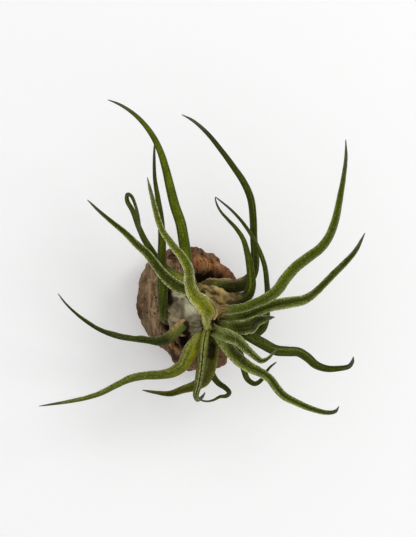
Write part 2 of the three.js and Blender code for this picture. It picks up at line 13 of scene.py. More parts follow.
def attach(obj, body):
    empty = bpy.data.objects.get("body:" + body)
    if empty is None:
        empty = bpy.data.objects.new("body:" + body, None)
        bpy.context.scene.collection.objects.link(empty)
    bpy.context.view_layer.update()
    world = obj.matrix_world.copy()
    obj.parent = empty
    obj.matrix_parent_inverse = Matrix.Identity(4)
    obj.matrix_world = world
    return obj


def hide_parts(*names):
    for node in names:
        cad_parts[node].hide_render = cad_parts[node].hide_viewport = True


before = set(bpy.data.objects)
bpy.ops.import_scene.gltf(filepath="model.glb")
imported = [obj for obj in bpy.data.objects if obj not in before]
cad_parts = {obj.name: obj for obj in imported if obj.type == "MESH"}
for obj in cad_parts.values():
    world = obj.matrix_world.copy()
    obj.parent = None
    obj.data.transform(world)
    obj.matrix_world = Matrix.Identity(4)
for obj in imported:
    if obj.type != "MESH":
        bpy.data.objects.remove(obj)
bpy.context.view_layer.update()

log = logging.getLogger("air_plant")

# Lengths in this file are millimetres until a mesh is made, and a mesh is in metres
MM = 0.001

# The photograph's frame: its height in pixels, the size of a pixel at the plant's middle height, and what
# its centre looks at, from straight above
PHOTO_HEIGHT_PX = 537
PIXEL_MM = 0.46
VIEW_MIDDLE = (9.66, 19.09, 40.0)
CAMERA_DISTANCE = 3000.0
SENSOR_MM = 36.0

# Options that many nodes share
SMOOTH = {"interpolation_type": "SMOOTHSTEP"}
COLOURS = {"data_type": "RGBA"}
MULTIPLY = {"operation": "MULTIPLY"}
SUBTRACT = {"operation": "SUBTRACT"}
ABSOLUTE = {"operation": "ABSOLUTE"}

# What a row of a ramp table says, in order: where the last two are left out they are 0 and 1
RAMP = ("Value", "From Min", "From Max", "To Min", "To Max")

# Rows of four numbers, such as a spot's bearing, elevation and spread in degrees and its strength
Rows = tuple[tuple[float, float, float, float], ...]


# Nodes and colours


def linear(colour: int) -> tuple[float, float, float, float]:
    """Turns an sRGB hex colour into the linear colour that a shader takes.

    Args:
        colour: The colour, such as 0x4D6118.

    Returns:
        Red, green, blue and an alpha of 1.
    """
    channels = [((colour >> shift) & 255) / 255 for shift in (16, 8, 0)]
    r, g, b = (c / 12.92 if c <= 0.04045 else ((c + 0.055) / 1.055) ** 2.4 for c in channels)
    return (r, g, b, 1.0)


def add_node(
    tree: NodeTree,
    kind: str,
    settings: dict[str, object] | None = None,
    inputs: dict[int | str, object] | None = None,
    out: int | str = 0,
) -> NodeSocket | None:
    """Adds one node with its settings, its values and the links into it.

    Args:
        tree: The node tree that it joins.
        kind: Blender's name for the kind of node.
        settings: The node's own options, by name.
        inputs: What each input takes, by name or place: a value, or an output socket to link.
        out: The output to give back, by name or place.

    Returns:
        That output, whose node attribute leads to the node's other outputs, or None where it has none.
    """
    node = tree.nodes.new(kind)
    for name, value in (settings or {}).items():
        setattr(node, name, value)
    for key, value in (inputs or {}).items():
        if isinstance(value, NodeSocket):
            tree.links.new(value, node.inputs[key])
        else:
            node.inputs[key].default_value = value
    return node.outputs[out] if node.outputs else None


def start_material(name: str, *keys: str) -> tuple[Material, NodeTree, list[NodeSocket]]:
    """Starts a material that reads each point's place and some attributes of the mesh.

    Args:
        name: The real material and how its surface came about.
        keys: The attributes.

    Returns:
        The material, its node tree, and a socket for the place and for each attribute.
    """
    material = bpy.data.materials.new(name)
    material.use_nodes = True
    tree = material.node_tree
    tree.nodes.clear()
    read = [add_node(tree, "ShaderNodeTexCoord", out="Object")]
    read += [add_node(tree, "ShaderNodeAttribute", {"attribute_name": key}, out="Fac") for key in keys]
    return material, tree, read


def close_material(
    tree: NodeTree,
    colour: NodeSocket,
    roughness: NodeSocket | float,
    relief: NodeSocket,
    relief_mm: float,
    gloss: float = 0.3,
    glow: float = 0.0,
) -> None:
    """Joins a material's colour, roughness and fine relief in its shader.

    Args:
        tree: The material's node tree.
        colour: The colour at each point.
        roughness: The roughness.
        relief: The height of the fine relief, from 0 to 1.
        relief_mm: How high that relief is.
        gloss: How strongly it mirrors, where 0.5 is plain plastic.
        glow: How much white light comes up through it.
    """
    bump = add_node(tree, "ShaderNodeBump", None, {"Height": relief, "Distance": relief_mm * MM})
    inputs = {"Base Color": colour, "Roughness": roughness, "Normal": bump}
    inputs |= {"Specular IOR Level": gloss, "Emission Strength": glow}
    shader = add_node(tree, "ShaderNodeBsdfPrincipled", None, inputs)
    add_node(tree, "ShaderNodeOutputMaterial", None, {"Surface": shader})


# Finishes


@dataclass(frozen=True)
class LeafSkin:
    """Living tillandsia leaf: a satin skin under fine pale scales, so a green dulled by dust, with pale rims.

    Attributes:
        base: Colour where the blade leaves the bulb.
        blade: Colour of most of the blade.
        aged_and_shade: What an old leaf leans to, near its tip and in cloud; painted shade on its back's
            flanks.
        tip: Colour of the dry tip.
        channel: Colour of the painted shade deep in the channel, and of dark streaks and specks.
        margin: Colour of the bands of dust along the rims, and of one flank, paler with dust and painted
            sheen.
        scales: Colour of the tiny scales and of the thin rim itself.
        scaliness: How much the scales and rims show, from 0 to 1.
        base_reach: The share of the blade over which the base colour fades.
        husk: Colour of a dry, papery base.
        husk_fold: Colour of the painted shade in that base's folds.
        pit: Colour of the painted shade in deep hollows and in the channel's crease.
    """

    base: int
    blade: int
    aged_and_shade: int
    tip: int
    channel: int
    margin: int
    scales: int
    scaliness: float
    base_reach: float
    husk: int = 0xBA9E64
    husk_fold: int = 0x5A482A
    pit: int = 0x20160A

    def material(self, name: str) -> Material:
        """Draws the leaf's material from the blade's own attributes.

        Args:
            name: The material's name.

        Returns:
            The material.
        """
        keys = ("along", "across", "inside", "reach", "age", "flank", "dry", "fold", "pit")
        made, tree, read = start_material(name, *keys)
        place, along, across, inside, reach, age, flank, dry, fold, pit = read
        edge = add_node(tree, "ShaderNodeMath", ABSOLUTE, {0: across})
        outside = add_node(tree, "ShaderNodeMath", SUBTRACT, {0: 1.0, 1: inside})
        side = add_node(tree, "ShaderNodeMath", MULTIPLY, {0: across, 1: flank})
        older = add_node(tree, "ShaderNodeMath", MULTIPLY, {0: age, 1: 0.6})
        off_seam = add_node(tree, "ShaderNodeMath", SUBTRACT, {0: edge, 1: 0.68})
        off_seam = add_node(tree, "ShaderNodeMath", ABSOLUTE, {0: off_seam})

        # Streaks along the blade: about seven over its width, 25 mm long, and other ones at each age
        streak_at = {}
        for axis, (value, per) in enumerate(((across, 7.0), (reach, 1 / 25), (age, 37.0))):
            streak_at[axis] = add_node(tree, "ShaderNodeMath", MULTIPLY, {0: value, 1: per})
        streaks = {"Vector": add_node(tree, "ShaderNodeCombineXYZ", None, streak_at), "Scale": 1.0}
        streak = add_node(tree, "ShaderNodeTexNoise", None, streaks | {"Detail": 2.0})

        # Soft clouds 7 mm wide. Scales: real ones are 0.2 mm, drawn 0.8 mm apart in drifts of 3 mm so that
        # they show as a pale grain
        at = {"Vector": place}
        cloud, grain, drift = (
            add_node(tree, "ShaderNodeTexNoise", None, at | {"Scale": 1 / (mm * MM), "Detail": detail})
            for mm, detail in ((7, 3.0), (0.8, 2.0), (3, 2.0))
        )
        cells = add_node(tree, "ShaderNodeTexVoronoi", None, at | {"Scale": 1 / (0.8 * MM)})

        # How much of each layer shows, by place
        ramps = {
            "young": (along, 0.02, self.base_reach, 1.0, 0.0),
            # Painted shade deep in the channel
            "deep": (edge, 1.0, 0.1, 0.0, 0.85),
            # Painted shade on the flanks of a rolled blade's back
            "shaded_flanks": (edge, 0.12, 0.62, 0.0, 0.75),
            # Dust on one flank, and painted sheen that makes that flank paler
            "dust_and_sheen": (side, 0.04, 0.4, 0.0, 0.4),
            "shady": (cloud, 0.6, 0.38, 0.0, 0.45),
            "ripe": (along, 0.5, 0.92, 0.0, 0.4),
            "dark_line": (streak, 0.5, 0.32, 0.0, 0.6),
            "pale_line": (streak, 0.52, 0.7, 0.0, 0.4),
            # Painted shade in the crease at the foot of the channel
            "valley_shade": (edge, 0.08, 0.02, 0.0, 0.45),
            "banded": (edge, 0.55, 0.95, 0.0, 0.1 + 0.28 * self.scaliness),
            # The rim bands are fainter on the other flank, which has no dust and no painted sheen
            "fainter_flank": (side, -0.6, -0.1, 0.3, 1.0),
            "rimmed": (edge, 0.84, 0.95, 0.0, 0.2 + 0.5 * self.scaliness),
            "near_rim": (edge, 0.1, 0.8),
            "dried": (along, 0.8, 1.0, 0.0, 0.9),
            "neck": (reach, 17.0, 9.0, 0.0, 0.7),
            "seam": (off_seam, 0.08, 0.02, 0.0, 0.4 * self.scaliness**1.5),
            "speck": (cells, 0.36, 0.14),
            "drifted": (drift, 0.4, 0.6, 0.0, self.scaliness),
            "broken": (grain, 0.34, 0.56, 0.25, 1.0),
            "rough": (cloud, 0.0, 1.0, 0.42, 0.62),
        }
        show = {"inside": inside, "outside": outside, "older": older, "dry": dry, "pit": pit}
        for key, row in ramps.items():
            show[key] = add_node(tree, "ShaderNodeMapRange", SMOOTH, dict(zip(RAMP, row)))
        for key, within in (
            ("banded", "fainter_flank"), ("deep", "inside"), ("shaded_flanks", "outside"), ("valley_shade", "inside"),
            ("rimmed", "broken"), ("seam", "broken"), ("drifted", "near_rim"), ("drifted", "speck"),
            ("speck", "banded"),
        ):
            show[key] = add_node(tree, "ShaderNodeMath", MULTIPLY, {0: show[key], 1: show[within]})
        # A dry base is papery, with painted shade in its folds
        papery = {0: fold, 6: linear(self.husk), 7: linear(self.husk_fold)}
        papery = add_node(tree, "ShaderNodeMix", COLOURS, papery, out=2)

        # The layers' colours, from the lowest one up; in the channel, on the back's flanks, in the crease and
        # in the pits they are painted shade
        body = linear(self.blade)
        for key, colour in (
            ("older", self.aged_and_shade), ("young", self.base), ("deep", self.channel), ("shaded_flanks", self.aged_and_shade),
            ("dust_and_sheen", self.margin), ("shady", self.aged_and_shade), ("ripe", self.aged_and_shade), ("dark_line", self.channel),
            ("pale_line", self.margin), ("valley_shade", self.pit), ("banded", self.margin), ("seam", self.scales),
            ("speck", self.channel), ("rimmed", self.scales), ("dried", self.tip), ("neck", self.margin),
            ("drifted", self.scales), ("dry", papery), ("pit", self.pit),
        ):
            over = linear(colour) if isinstance(colour, int) else colour
            body = add_node(tree, "ShaderNodeMix", COLOURS, {0: show[key], 6: body, 7: over}, out=2)
        # The grain darkens and brightens the skin by up to 38%, and a dry base by less
        mottle = dict(zip(RAMP, (grain, 0.32, 0.68, 0.62, 1.38)))
        mottle = add_node(tree, "ShaderNodeMapRange", None, mottle)
        mottled = add_node(tree, "ShaderNodeMath", {"operation": "MULTIPLY_ADD"}, {0: dry, 1: -0.6, 2: 1.0})
        shades = COLOURS | {"blend_type": "MULTIPLY"}
        body = add_node(tree, "ShaderNodeMix", shades, {0: mottled, 6: body, 7: mottle}, out=2)
        relief = add_node(tree, "ShaderNodeMath", {"operation": "ADD"}, {0: streak, 1: grain})
        close_material(tree, body, show["rough"], relief, 0.16, gloss=0.1)
        return made


class LeafFinish(Enum):
    """The leaf skins on the plant, from its youngest leaf to its oldest ones and those in the shade."""

    YOUNG = LeafSkin(0xC8BC20, 0x687008, 0x424A04, 0x74765A, 0x6C7404, 0xA4A864, 0xDCDCB2, 0.95, 0.5)
    OLIVE = LeafSkin(0x8A8606, 0x6E7402, 0x3E4602, 0x60634C, 0x525802, 0x888A36, 0xB6B67E, 0.45, 0.12)
    GOLDEN = LeafSkin(0x9C9C08, 0x5E680A, 0x424A06, 0x4E5238, 0x525802, 0x8E9040, 0xBCBC88, 0.35, 0.5)
    SCALY = LeafSkin(0x968C3E, 0x5E6C02, 0x323A02, 0x60624C, 0x363E00, 0x8A9248, 0xC6CA90, 0.7, 0.16)
    FRESH = LeafSkin(0x968C3E, 0x6E7C0A, 0x404A06, 0x5C6048, 0x4E5C06, 0x6A7242, 0xB0B480, 0.45, 0.2)
    MOSSY = LeafSkin(0x9A963A, 0x5A6604, 0x2A3200, 0x545444, 0x262E00, 0x7C8438, 0xA4A674, 0.4, 0.3)
    LUSH = LeafSkin(0x66641C, 0x637004, 0x2A3400, 0x545444, 0x2E3800, 0x747C34, 0x96986A, 0.25, 0.12)
    SHADE = LeafSkin(0x585818, 0x6A6C08, 0x30360A, 0x50503E, 0x545206, 0x74783C, 0x9C9E6C, 0.5, 0.12)
    DEEP = LeafSkin(0x66641C, 0x576202, 0x222A00, 0x545444, 0x1E2600, 0x747C34, 0x96986A, 0.3, 0.12)


@dataclass(frozen=True)
class PaperSkin:
    """Dry leaf base: a thin papery husk with fibres up it, dull, paler where wear has thinned it and in
    painted highlights.

    Attributes:
        body: Its main colour.
        dark: Colour between the fibres, low down, and of the painted shade in its folds.
        wear_and_highlight: Colour of its thin pale patches, and of the painted highlights on it.
        rim: Colour of its brittle rim.
        pit: Colour of the painted shade in deep hollows.
    """

    body: int
    dark: int
    wear_and_highlight: int
    rim: int
    pit: int = 0x20160A

    def material(self, name: str) -> Material:
        """Draws the husk's material from the piece's own attributes.

        Args:
            name: The material's name.

        Returns:
            The material.
        """
        made, tree, read = start_material(name, "along", "around", "pale", "pit", "fold")
        place, along, around, pale, pit, fold = read

        # Fibres about 1.2 mm apart, running 10 mm up the husk (around is in millimetres); patches of 5 mm
        fibre_at = {}
        for axis, (value, per) in enumerate(((around, 1 / 1.2), (along, 2.0))):
            fibre_at[axis] = add_node(tree, "ShaderNodeMath", MULTIPLY, {0: value, 1: per})
        fibre_at = add_node(tree, "ShaderNodeCombineXYZ", None, fibre_at)
        fibres, patch = (
            add_node(tree, "ShaderNodeTexNoise", None, {"Vector": at, "Scale": scale, "Detail": detail})
            for at, scale, detail in ((fibre_at, 1.0, 3.0), (place, 1 / (5 * MM), 4.0))
        )
        fibre, thin, stain, low, brittle = (
            add_node(tree, "ShaderNodeMapRange", SMOOTH, dict(zip(RAMP, row)))
            for row in (
                (fibres, 0.3, 0.66, 0.45, 1.0),
                (patch, 0.5, 0.68, 0.0, 0.8),
                (patch, 0.46, 0.3, 0.0, 0.6),
                (along, 0.45, 0.0, 0.0, 0.6),
                (along, 0.86, 1.0),
            )
        )
        # Random stains, and darker towards the foot
        stained_and_darker_low = add_node(tree, "ShaderNodeMath", {"operation": "MAXIMUM"}, {0: low, 1: stain})
        # The folds and pits get painted shade; pale spots and raised folds get a painted highlight
        folded = add_node(tree, "ShaderNodeMath", MULTIPLY, {0: fold, 1: 0.7})
        body = linear(self.dark)
        for share, colour in (
            (fibre, self.body), (thin, self.wear_and_highlight), (stained_and_darker_low, self.dark), (brittle, self.rim), (pale, self.wear_and_highlight),
            (folded, self.dark), (pit, self.pit),
        ):
            body = add_node(tree, "ShaderNodeMix", COLOURS, {0: share, 6: body, 7: linear(colour)}, out=2)
        close_material(tree, body, 0.82, fibre, 0.12, gloss=0.07)
        return made


class PaperFinish(Enum):
    """The husks on the bulb."""

    GREY = PaperSkin(0xA89878, 0x443A2A, 0xD0CEAE, 0xA09678)
    TAN = PaperSkin(0xA88C50, 0x52401E, 0xCCB67C, 0xC2A96E)
    OLIVE = PaperSkin(0x807846, 0x3A3418, 0xA09860, 0x6E6A36)


@dataclass(frozen=True)
class WoodSkin:
    """Weathered driftwood with reddish burl knobs: dry, rough, dark in cracks and painted shade, pale on
    rubbed rims and painted highlights.

    Attributes:
        bark: Colour of the furrowed side.
        bark_pale: Its weathered ridges.
        bark_tan: Patches where the bark has flaked off.
        umber: Colour of the darker brown wood low on the lump.
        knob: Colour of the reddish knobs.
        knob_pale: Their tops, rubbed pale by wear, and the painted highlights on them.
        crack_and_shade: Colour of cracks, dark grain and the painted shade in hollows.
    """

    bark: int = 0x795F4A
    bark_pale: int = 0xA28A6C
    bark_tan: int = 0xC2A276
    umber: int = 0x64442F
    knob: int = 0xB06830
    knob_pale: int = 0xC89E70
    crack_and_shade: int = 0x1A0E06

    def material(self, name: str) -> Material:
        """Draws the wood's material from its relief.

        Args:
            name: The material's name.

        Returns:
            The material.
        """
        made, tree, read = start_material(name, "tan", "red", "brown", "hollow", "ridge")
        place, tan, red, brown, hollow, ridge = read

        # Grain 0.7 mm wide and blotches of 2.4 mm, both drawn out along the lump; flaked patches of 4 mm
        grain_at = add_node(tree, "ShaderNodeMapping", None, {"Vector": place, "Scale": (1.0, 0.24, 0.5)})
        grain, blotch, flake = (
            add_node(tree, "ShaderNodeTexNoise", None, {"Vector": at, "Scale": 1 / mm / MM, "Detail": detail})
            for at, mm, detail in ((grain_at, 0.7, 3.0), (grain_at, 2.4, 5.0), (place, 4, 4.0))
        )
        weathered, flaked, stained, streaked = (
            add_node(tree, "ShaderNodeMapRange", SMOOTH, dict(zip(RAMP, row)))
            for row in (
                (blotch, 0.34, 0.68),
                (flake, 0.5, 0.7, 0.0, 0.5),
                (flake, 0.46, 0.34, 0.0, 0.5),
                (grain, 0.3, 0.7, 0.36, 0.0),
            )
        )
        tanned = {0: tan, 1: weathered, 2: flaked}
        tanned = add_node(tree, "ShaderNodeMath", {"operation": "MULTIPLY_ADD"}, tanned)
        # Knob rims rubbed pale and painted with highlights; the hollows are dark with painted shade
        wear_and_highlight = add_node(tree, "ShaderNodeMath", MULTIPLY, {0: ridge, 1: 0.8})
        body = linear(self.bark)
        for share, colour in (
            (weathered, self.bark_pale), (tanned, self.bark_tan), (brown, self.umber), (red, self.knob),
            (wear_and_highlight, self.knob_pale), (stained, self.umber), (streaked, self.crack_and_shade), (hollow, self.crack_and_shade),
        ):
            body = add_node(tree, "ShaderNodeMix", COLOURS, {0: share, 6: body, 7: linear(colour)}, out=2)
        relief = add_node(tree, "ShaderNodeMath", {"operation": "ADD"}, {0: grain, 1: blotch})
        close_material(tree, body, 0.88, relief, 0.35, gloss=0.06)
        return made


@dataclass(frozen=True)
class ScaleSkin:
    """Dead, air-filled leaf scales: silvery white and matte.

    Attributes:
        pale: Their colour.
        dull: What some of them lean to.
    """

    pale: int = 0xD2D4BE
    dull: int = 0xA2A784

    def material(self, name: str) -> Material:
        """Draws the scales' material: paler and duller drifts of 3 mm.

        Args:
            name: The material's name.

        Returns:
            The material.
        """
        made, tree, (place,) = start_material(name)
        drifts = {"Vector": place, "Scale": 1 / (3 * MM), "Detail": 2.0}
        vary = add_node(tree, "ShaderNodeTexNoise", None, drifts)
        share = add_node(tree, "ShaderNodeMapRange", SMOOTH, dict(zip(RAMP, (vary, 0.38, 0.62))))
        colours = {0: share, 6: linear(self.dull), 7: linear(self.pale)}
        body = add_node(tree, "ShaderNodeMix", COLOURS, colours, out=2)
        close_material(tree, body, 0.7, vary, 0.02)
        return made


# Meshes


def mesh_piece(
    name: str,
    points: np.ndarray,
    faces: list[tuple[int, ...]],
    values: dict[str, np.ndarray],
    material: Material | None = None,
    edges: list[tuple[int, int]] | None = None,
) -> Object:
    """Makes a mesh object from points in millimetres and puts it in the scene.

    Args:
        name: The piece's name.
        points: One row for each point.
        faces: The points of each face, in order.
        values: Attributes of the points: one number each, or one vector each.
        material: What it is made of.
        edges: The points of each edge, for a mesh with no faces.

    Returns:
        The object.
    """
    mesh = bpy.data.meshes.new(name)
    mesh.from_pydata((np.asarray(points) * MM).tolist(), edges or [], faces)
    for key, rows in values.items():
        rows = np.asarray(rows, dtype=np.float32)
        kind, field = ("FLOAT_VECTOR", "vector") if rows.ndim == 2 else ("FLOAT", "value")
        mesh.attributes.new(key, kind, "POINT").data.foreach_set(field, rows.ravel())
    if material is not None:
        mesh.materials.append(material)
    mesh.update()
    return put_in_scene(name, mesh)


def put_in_scene(name: str, content: Mesh | bpy.types.Light | bpy.types.Camera) -> Object:
    """Makes an object of a mesh, a lamp or a lens and puts it in the scene.

    Args:
        name: The object's name.
        content: The mesh, lamp or lens.

    Returns:
        The object.
    """
    made = bpy.data.objects.new(name, content)
    bpy.context.scene.collection.objects.link(made)
    return made


def read_values(mesh: Mesh, key: str) -> np.ndarray:
    """Reads one of a mesh's attributes.

    Args:
        mesh: The mesh.
        key: The attribute's name.

    Returns:
        One number for each point.
    """
    values = np.zeros(len(mesh.vertices))
    mesh.attributes[key].data.foreach_get("value", values)
    return values


def face_outward(piece: Object) -> None:
    """Turns every face of a closed piece outward.

    Args:
        piece: The piece.
    """
    shell = bmesh.new()
    shell.from_mesh(piece.data)
    bmesh.ops.recalc_face_normals(shell, faces=shell.faces)
    shell.to_mesh(piece.data)
    shell.free()


def take_place(piece: Object, node: str) -> None:
    """Shades a finished piece smoothly and lets it stand for a CAD node.

    Args:
        piece: The piece.
        node: The CAD node's name.
    """
    piece.data.polygons.foreach_set("use_smooth", [True] * len(piece.data.polygons))
    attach(piece, "root")
    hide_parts(node)
    log.info("%s stands for %s: %d faces", piece.name, node, len(piece.data.polygons))


# Geometry trees


def start_tree(name: str, inputs: dict[str, str]) -> tuple[NodeTree, bpy.types.bpy_prop_collection]:
    """Starts a geometry tree whose output is called Piece.

    Args:
        name: What it does.
        inputs: The kind of each of its named inputs.

    Returns:
        The tree, and the sockets of its inputs by name.
    """
    tree = bpy.data.node_groups.new(name, "GeometryNodeTree")
    for key, kind in inputs.items():
        tree.interface.new_socket(key, in_out="INPUT", socket_type=f"NodeSocket{kind}")
    tree.interface.new_socket("Piece", in_out="OUTPUT", socket_type="NodeSocketGeometry")
    return tree, add_node(tree, "NodeGroupInput").node.outputs


def end_tree(tree: NodeTree, piece: NodeSocket, material: NodeSocket) -> NodeTree:
    """Ends a geometry tree in real geometry with its material on it.

    Args:
        tree: The tree.
        piece: What it has made.
        material: The material.

    Returns:
        The tree.
    """
    piece = add_node(tree, "GeometryNodeRealizeInstances", None, {"Geometry": piece})
    piece = add_node(tree, "GeometryNodeSetMaterial", None, {"Geometry": piece, "Material": material})
    add_node(tree, "NodeGroupOutput", None, {"Piece": piece})
    return tree


def blade_tree() -> NodeTree:
    """Draws the tree that sweeps a channel's section along a leaf's route and ripples its rims.

    Returns:
        The tree.
    """
    inputs = {"Route": "Geometry", "Section": "Object", "Ripple": "Float", "Ripple length": "Float"}
    inputs |= {"Seed": "Float", "Skin": "Material"}
    tree, given = start_tree("leaf blade along its route", inputs)
    read = {"data_type": "FLOAT_VECTOR"}
    opening = add_node(tree, "GeometryNodeInputNamedAttribute", read, {"Name": "opening"})
    half_width = add_node(tree, "GeometryNodeInputNamedAttribute", None, {"Name": "half_width"})
    across = add_node(tree, "GeometryNodeInputNamedAttribute", None, {"Name": "across"})
    route = add_node(tree, "GeometryNodeMeshToCurve", None, {"Mesh": given["Route"]})
    facing = {"Curve": route, "Normal": opening}
    route = add_node(tree, "GeometryNodeSetCurveNormal", {"mode": "FREE"}, facing)
    section = add_node(tree, "GeometryNodeObjectInfo", None, {"Object": given["Section"]}, out="Geometry")
    section = add_node(tree, "GeometryNodeMeshToCurve", None, {"Mesh": section})
    swept = {"Curve": route, "Profile Curve": section, "Scale": half_width, "Fill Caps": True}
    blade = add_node(tree, "GeometryNodeCurveToMesh", None, swept)

    # The rims ripple up and down; the middle of the blade stays where it is
    fineness = add_node(tree, "ShaderNodeMath", {"operation": "DIVIDE"}, {0: 1.0, 1: given["Ripple length"]})
    wave = {"W": given["Seed"], "Scale": fineness, "Detail": 1.0}
    wave = add_node(tree, "ShaderNodeTexNoise", {"noise_dimensions": "4D"}, wave)
    height = add_node(tree, "ShaderNodeMath", SUBTRACT, {0: wave, 1: 0.5})
    edge = add_node(tree, "ShaderNodeMath", ABSOLUTE, {0: across})
    edge = add_node(tree, "ShaderNodeMath", {"operation": "POWER"}, {0: edge, 1: 3.0})
    for share in (given["Ripple"], edge, half_width):
        height = add_node(tree, "ShaderNodeMath", MULTIPLY, {0: height, 1: share})
    shift = add_node(tree, "ShaderNodeVectorMath", {"operation": "SCALE"}, {0: opening, "Scale": height})
    blade = add_node(tree, "GeometryNodeSetPosition", None, {"Geometry": blade, "Offset": shift})
    blade = add_node(tree, "GeometryNodeSetShadeSmooth", None, {"Geometry": blade, "Shade Smooth": True})
    return end_tree(tree, blade, given["Skin"])


def scatter_tree() -> NodeTree:
    """Draws the tree that scatters small flakes over a surface, most where the surface's cover is highest.

    Returns:
        The tree.
    """
    inputs = {"Surface": "Geometry", "Flake": "Object", "Per square metre": "Float", "Smallest": "Float"}
    inputs |= {"Largest": "Float", "Seed": "Int", "Finish": "Material"}
    tree, given = start_tree("flakes over a surface", inputs)
    cover = add_node(tree, "GeometryNodeInputNamedAttribute", None, {"Name": "cover"})
    density = add_node(tree, "ShaderNodeMath", MULTIPLY, {0: cover, 1: given["Per square metre"]})
    spread = {"Mesh": given["Surface"], "Density": density, "Seed": given["Seed"]}
    points = add_node(tree, "GeometryNodeDistributePointsOnFaces", None, spread)
    flake = add_node(tree, "GeometryNodeObjectInfo", None, {"Object": given["Flake"]}, out="Geometry")
    ranges = ({2: 0.0, 3: 2 * math.pi}, {2: given["Smallest"], 3: given["Largest"]})
    plain, seed = {"data_type": "FLOAT"}, {"Seed": given["Seed"]}
    angle, size = (add_node(tree, "FunctionNodeRandomValue", plain, span | seed, out=1) for span in ranges)
    spin = add_node(tree, "ShaderNodeCombineXYZ", None, {"Z": angle})
    turn = {"Rotation": points.node.outputs["Rotation"], "Rotate By": spin}
    turn = add_node(tree, "FunctionNodeRotateRotation", {"rotation_space": "LOCAL"}, turn)
    placed = {"Points": points, "Instance": flake, "Rotation": turn, "Scale": size}
    flakes = add_node(tree, "GeometryNodeInstanceOnPoints", None, placed)
    return end_tree(tree, flakes, given["Finish"])


def grow(source: Object, tree: NodeTree, inputs: dict[str, object], name: str) -> Object:
    """Runs a geometry tree on an object and keeps the plain mesh that it makes.

    Args:
        source: The object that the tree starts from, which is used up.
        tree: The geometry tree.
        inputs: A value for each of the tree's named inputs.
        name: The new piece's name.

    Returns:
        The new piece.
    """
    modifier = source.modifiers.new(tree.name, "NODES")
    modifier.node_group = tree
    for item in tree.interface.items_tree:
        if item.item_type == "SOCKET" and item.in_out == "INPUT" and item.name in inputs:
            modifier[item.identifier] = inputs[item.name]
    graph = bpy.context.evaluated_depsgraph_get()
    evaluated = source.evaluated_get(graph)
    mesh = bpy.data.meshes.new_from_object(evaluated, preserve_all_data_layers=True, depsgraph=graph)
    source.modifiers.remove(modifier)
    bpy.data.objects.remove(source)
    mesh.name = name
    return put_in_scene(name, mesh)


# Leaves

# How finely a route is measured, and how far its samples are apart
ROUTE_DIVISIONS = 600
SAMPLE_STEP = 0.8
# Over how many samples the widths and the rolls of a route are evened out
EVEN_WIDTH = 3
EVEN_ROLL = 7
# The share of a leaf over which its base flares and its width runs out at the tip, and that is cut off there
FLARE_SHARE = 0.09
TAIL_SHARE = 0.05
TIP_SHORT = 0.004
TIP_HALF_WIDTH = 0.12
# Points over one face of the blade, how thick it is, and how much of that its rims lose
SECTION_POINTS = 15
BLADE_WALL = 0.75
WALL_SHARE = 0.7
RIM_THINNING = 0.6
KEEL_SPREAD = 0.24
# How much the rims of open and of rolled blades ripple, as a share of the half width, and how long a wave is
OPEN_RIPPLE = 0.9
ROLLED_RIPPLE = 0.3
RIPPLE_LENGTH = 5.0
# The place high over the plant that every channel faces unless its route rolls it
CHANNELS_FACE = np.array((11.0, -5.0, 320.0))
# How high a dry base crumples, how wide one crumple is along the leaf, and over what length it starts
CRUMPLE = 0.8
CRUMPLE_LENGTH = 8.0
CRUMPLE_START = 5.0


def through(points: np.ndarray, place: float) -> np.ndarray:
    """Reads a smooth curve through points, on which a tight bend doesn't overshoot.

    Args:
        points: One row for each point.
        place: From 0 at the first point to 1 at the last.

    Returns:
        The point there.
    """
    last = len(points) - 1
    i = min(int(place * last), last - 1)
    share = place * last - i
    before = points[i - 1] if i > 0 else 2 * points[0] - points[1]
    after = points[i + 2] if i + 2 <= last else 2 * points[last] - points[last - 1]
    a, b = points[i], points[i + 1]
    d0, d1, d2 = (math.sqrt(np.linalg.norm(q - p)) for p, q in ((before, a), (a, b), (b, after)))
    leave = ((a - before) / d0 - (b - before) / (d0 + d1) + (b - a) / d1) * d1
    arrive = ((b - a) / d1 - (after - a) / (d1 + d2) + (after - b) / d2) * d1
    cubic = 2 * a - 2 * b + leave + arrive
    square = -3 * a + 3 * b - 2 * leave - arrive
    return a + share * (leave + share * (square + share * cubic))


@dataclass(frozen=True)
class Pit:
    """A hollow or crease pressed in from above, with painted shade, or a fold that stands up, with a painted
    highlight.

    Attributes:
        x: Where it is, or starts.
        y: Where it is, or starts.
        radius: How wide it is on each side.
        depth: How deep it is, or below 0 for how far it stands up.
        gloom: How dark its painted shade is, from 0 to 1, or below 0 for how much paler its painted highlight
            is.
        dx: How far off its other end is.
        dy: How far off its other end is.
        rough: How much its outline wanders, as a share of its radius.
        rough_length: How long one wander of the outline is.
    """

    x: float
    y: float
    radius: float
    depth: float
    gloom: float
    dx: float = 0.0
    dy: float = 0.0
    rough: float = 0.35
    rough_length: float = 1.6

    def press(self, points: np.ndarray, hold: np.ndarray) -> np.ndarray:
        """Presses the hollow into points.

        Args:
            points: One row for each point, changed here.
            hold: How much each point gives way, from 0 to 1.

        Returns:
            How much painted shade each point gets, or below 0 how much painted highlight.
        """
        wander = np.array([noise.noise(Vector(p) / self.rough_length) for p in points])
        x, y = points[:, 0] - self.x, points[:, 1] - self.y
        share = np.clip((x * self.dx + y * self.dy) / max(self.dx**2 + self.dy**2, 0.01), 0, 1)
        away = np.hypot(x - share * self.dx, y - share * self.dy) * (1 + self.rough * wander)
        near = np.clip(1 - away / self.radius, 0, 1)
        sunk = near * hold
        points[:, 2] -= self.depth * sunk * (2 - sunk)
        return self.gloom * np.clip(near * 2.0, 0, 1)


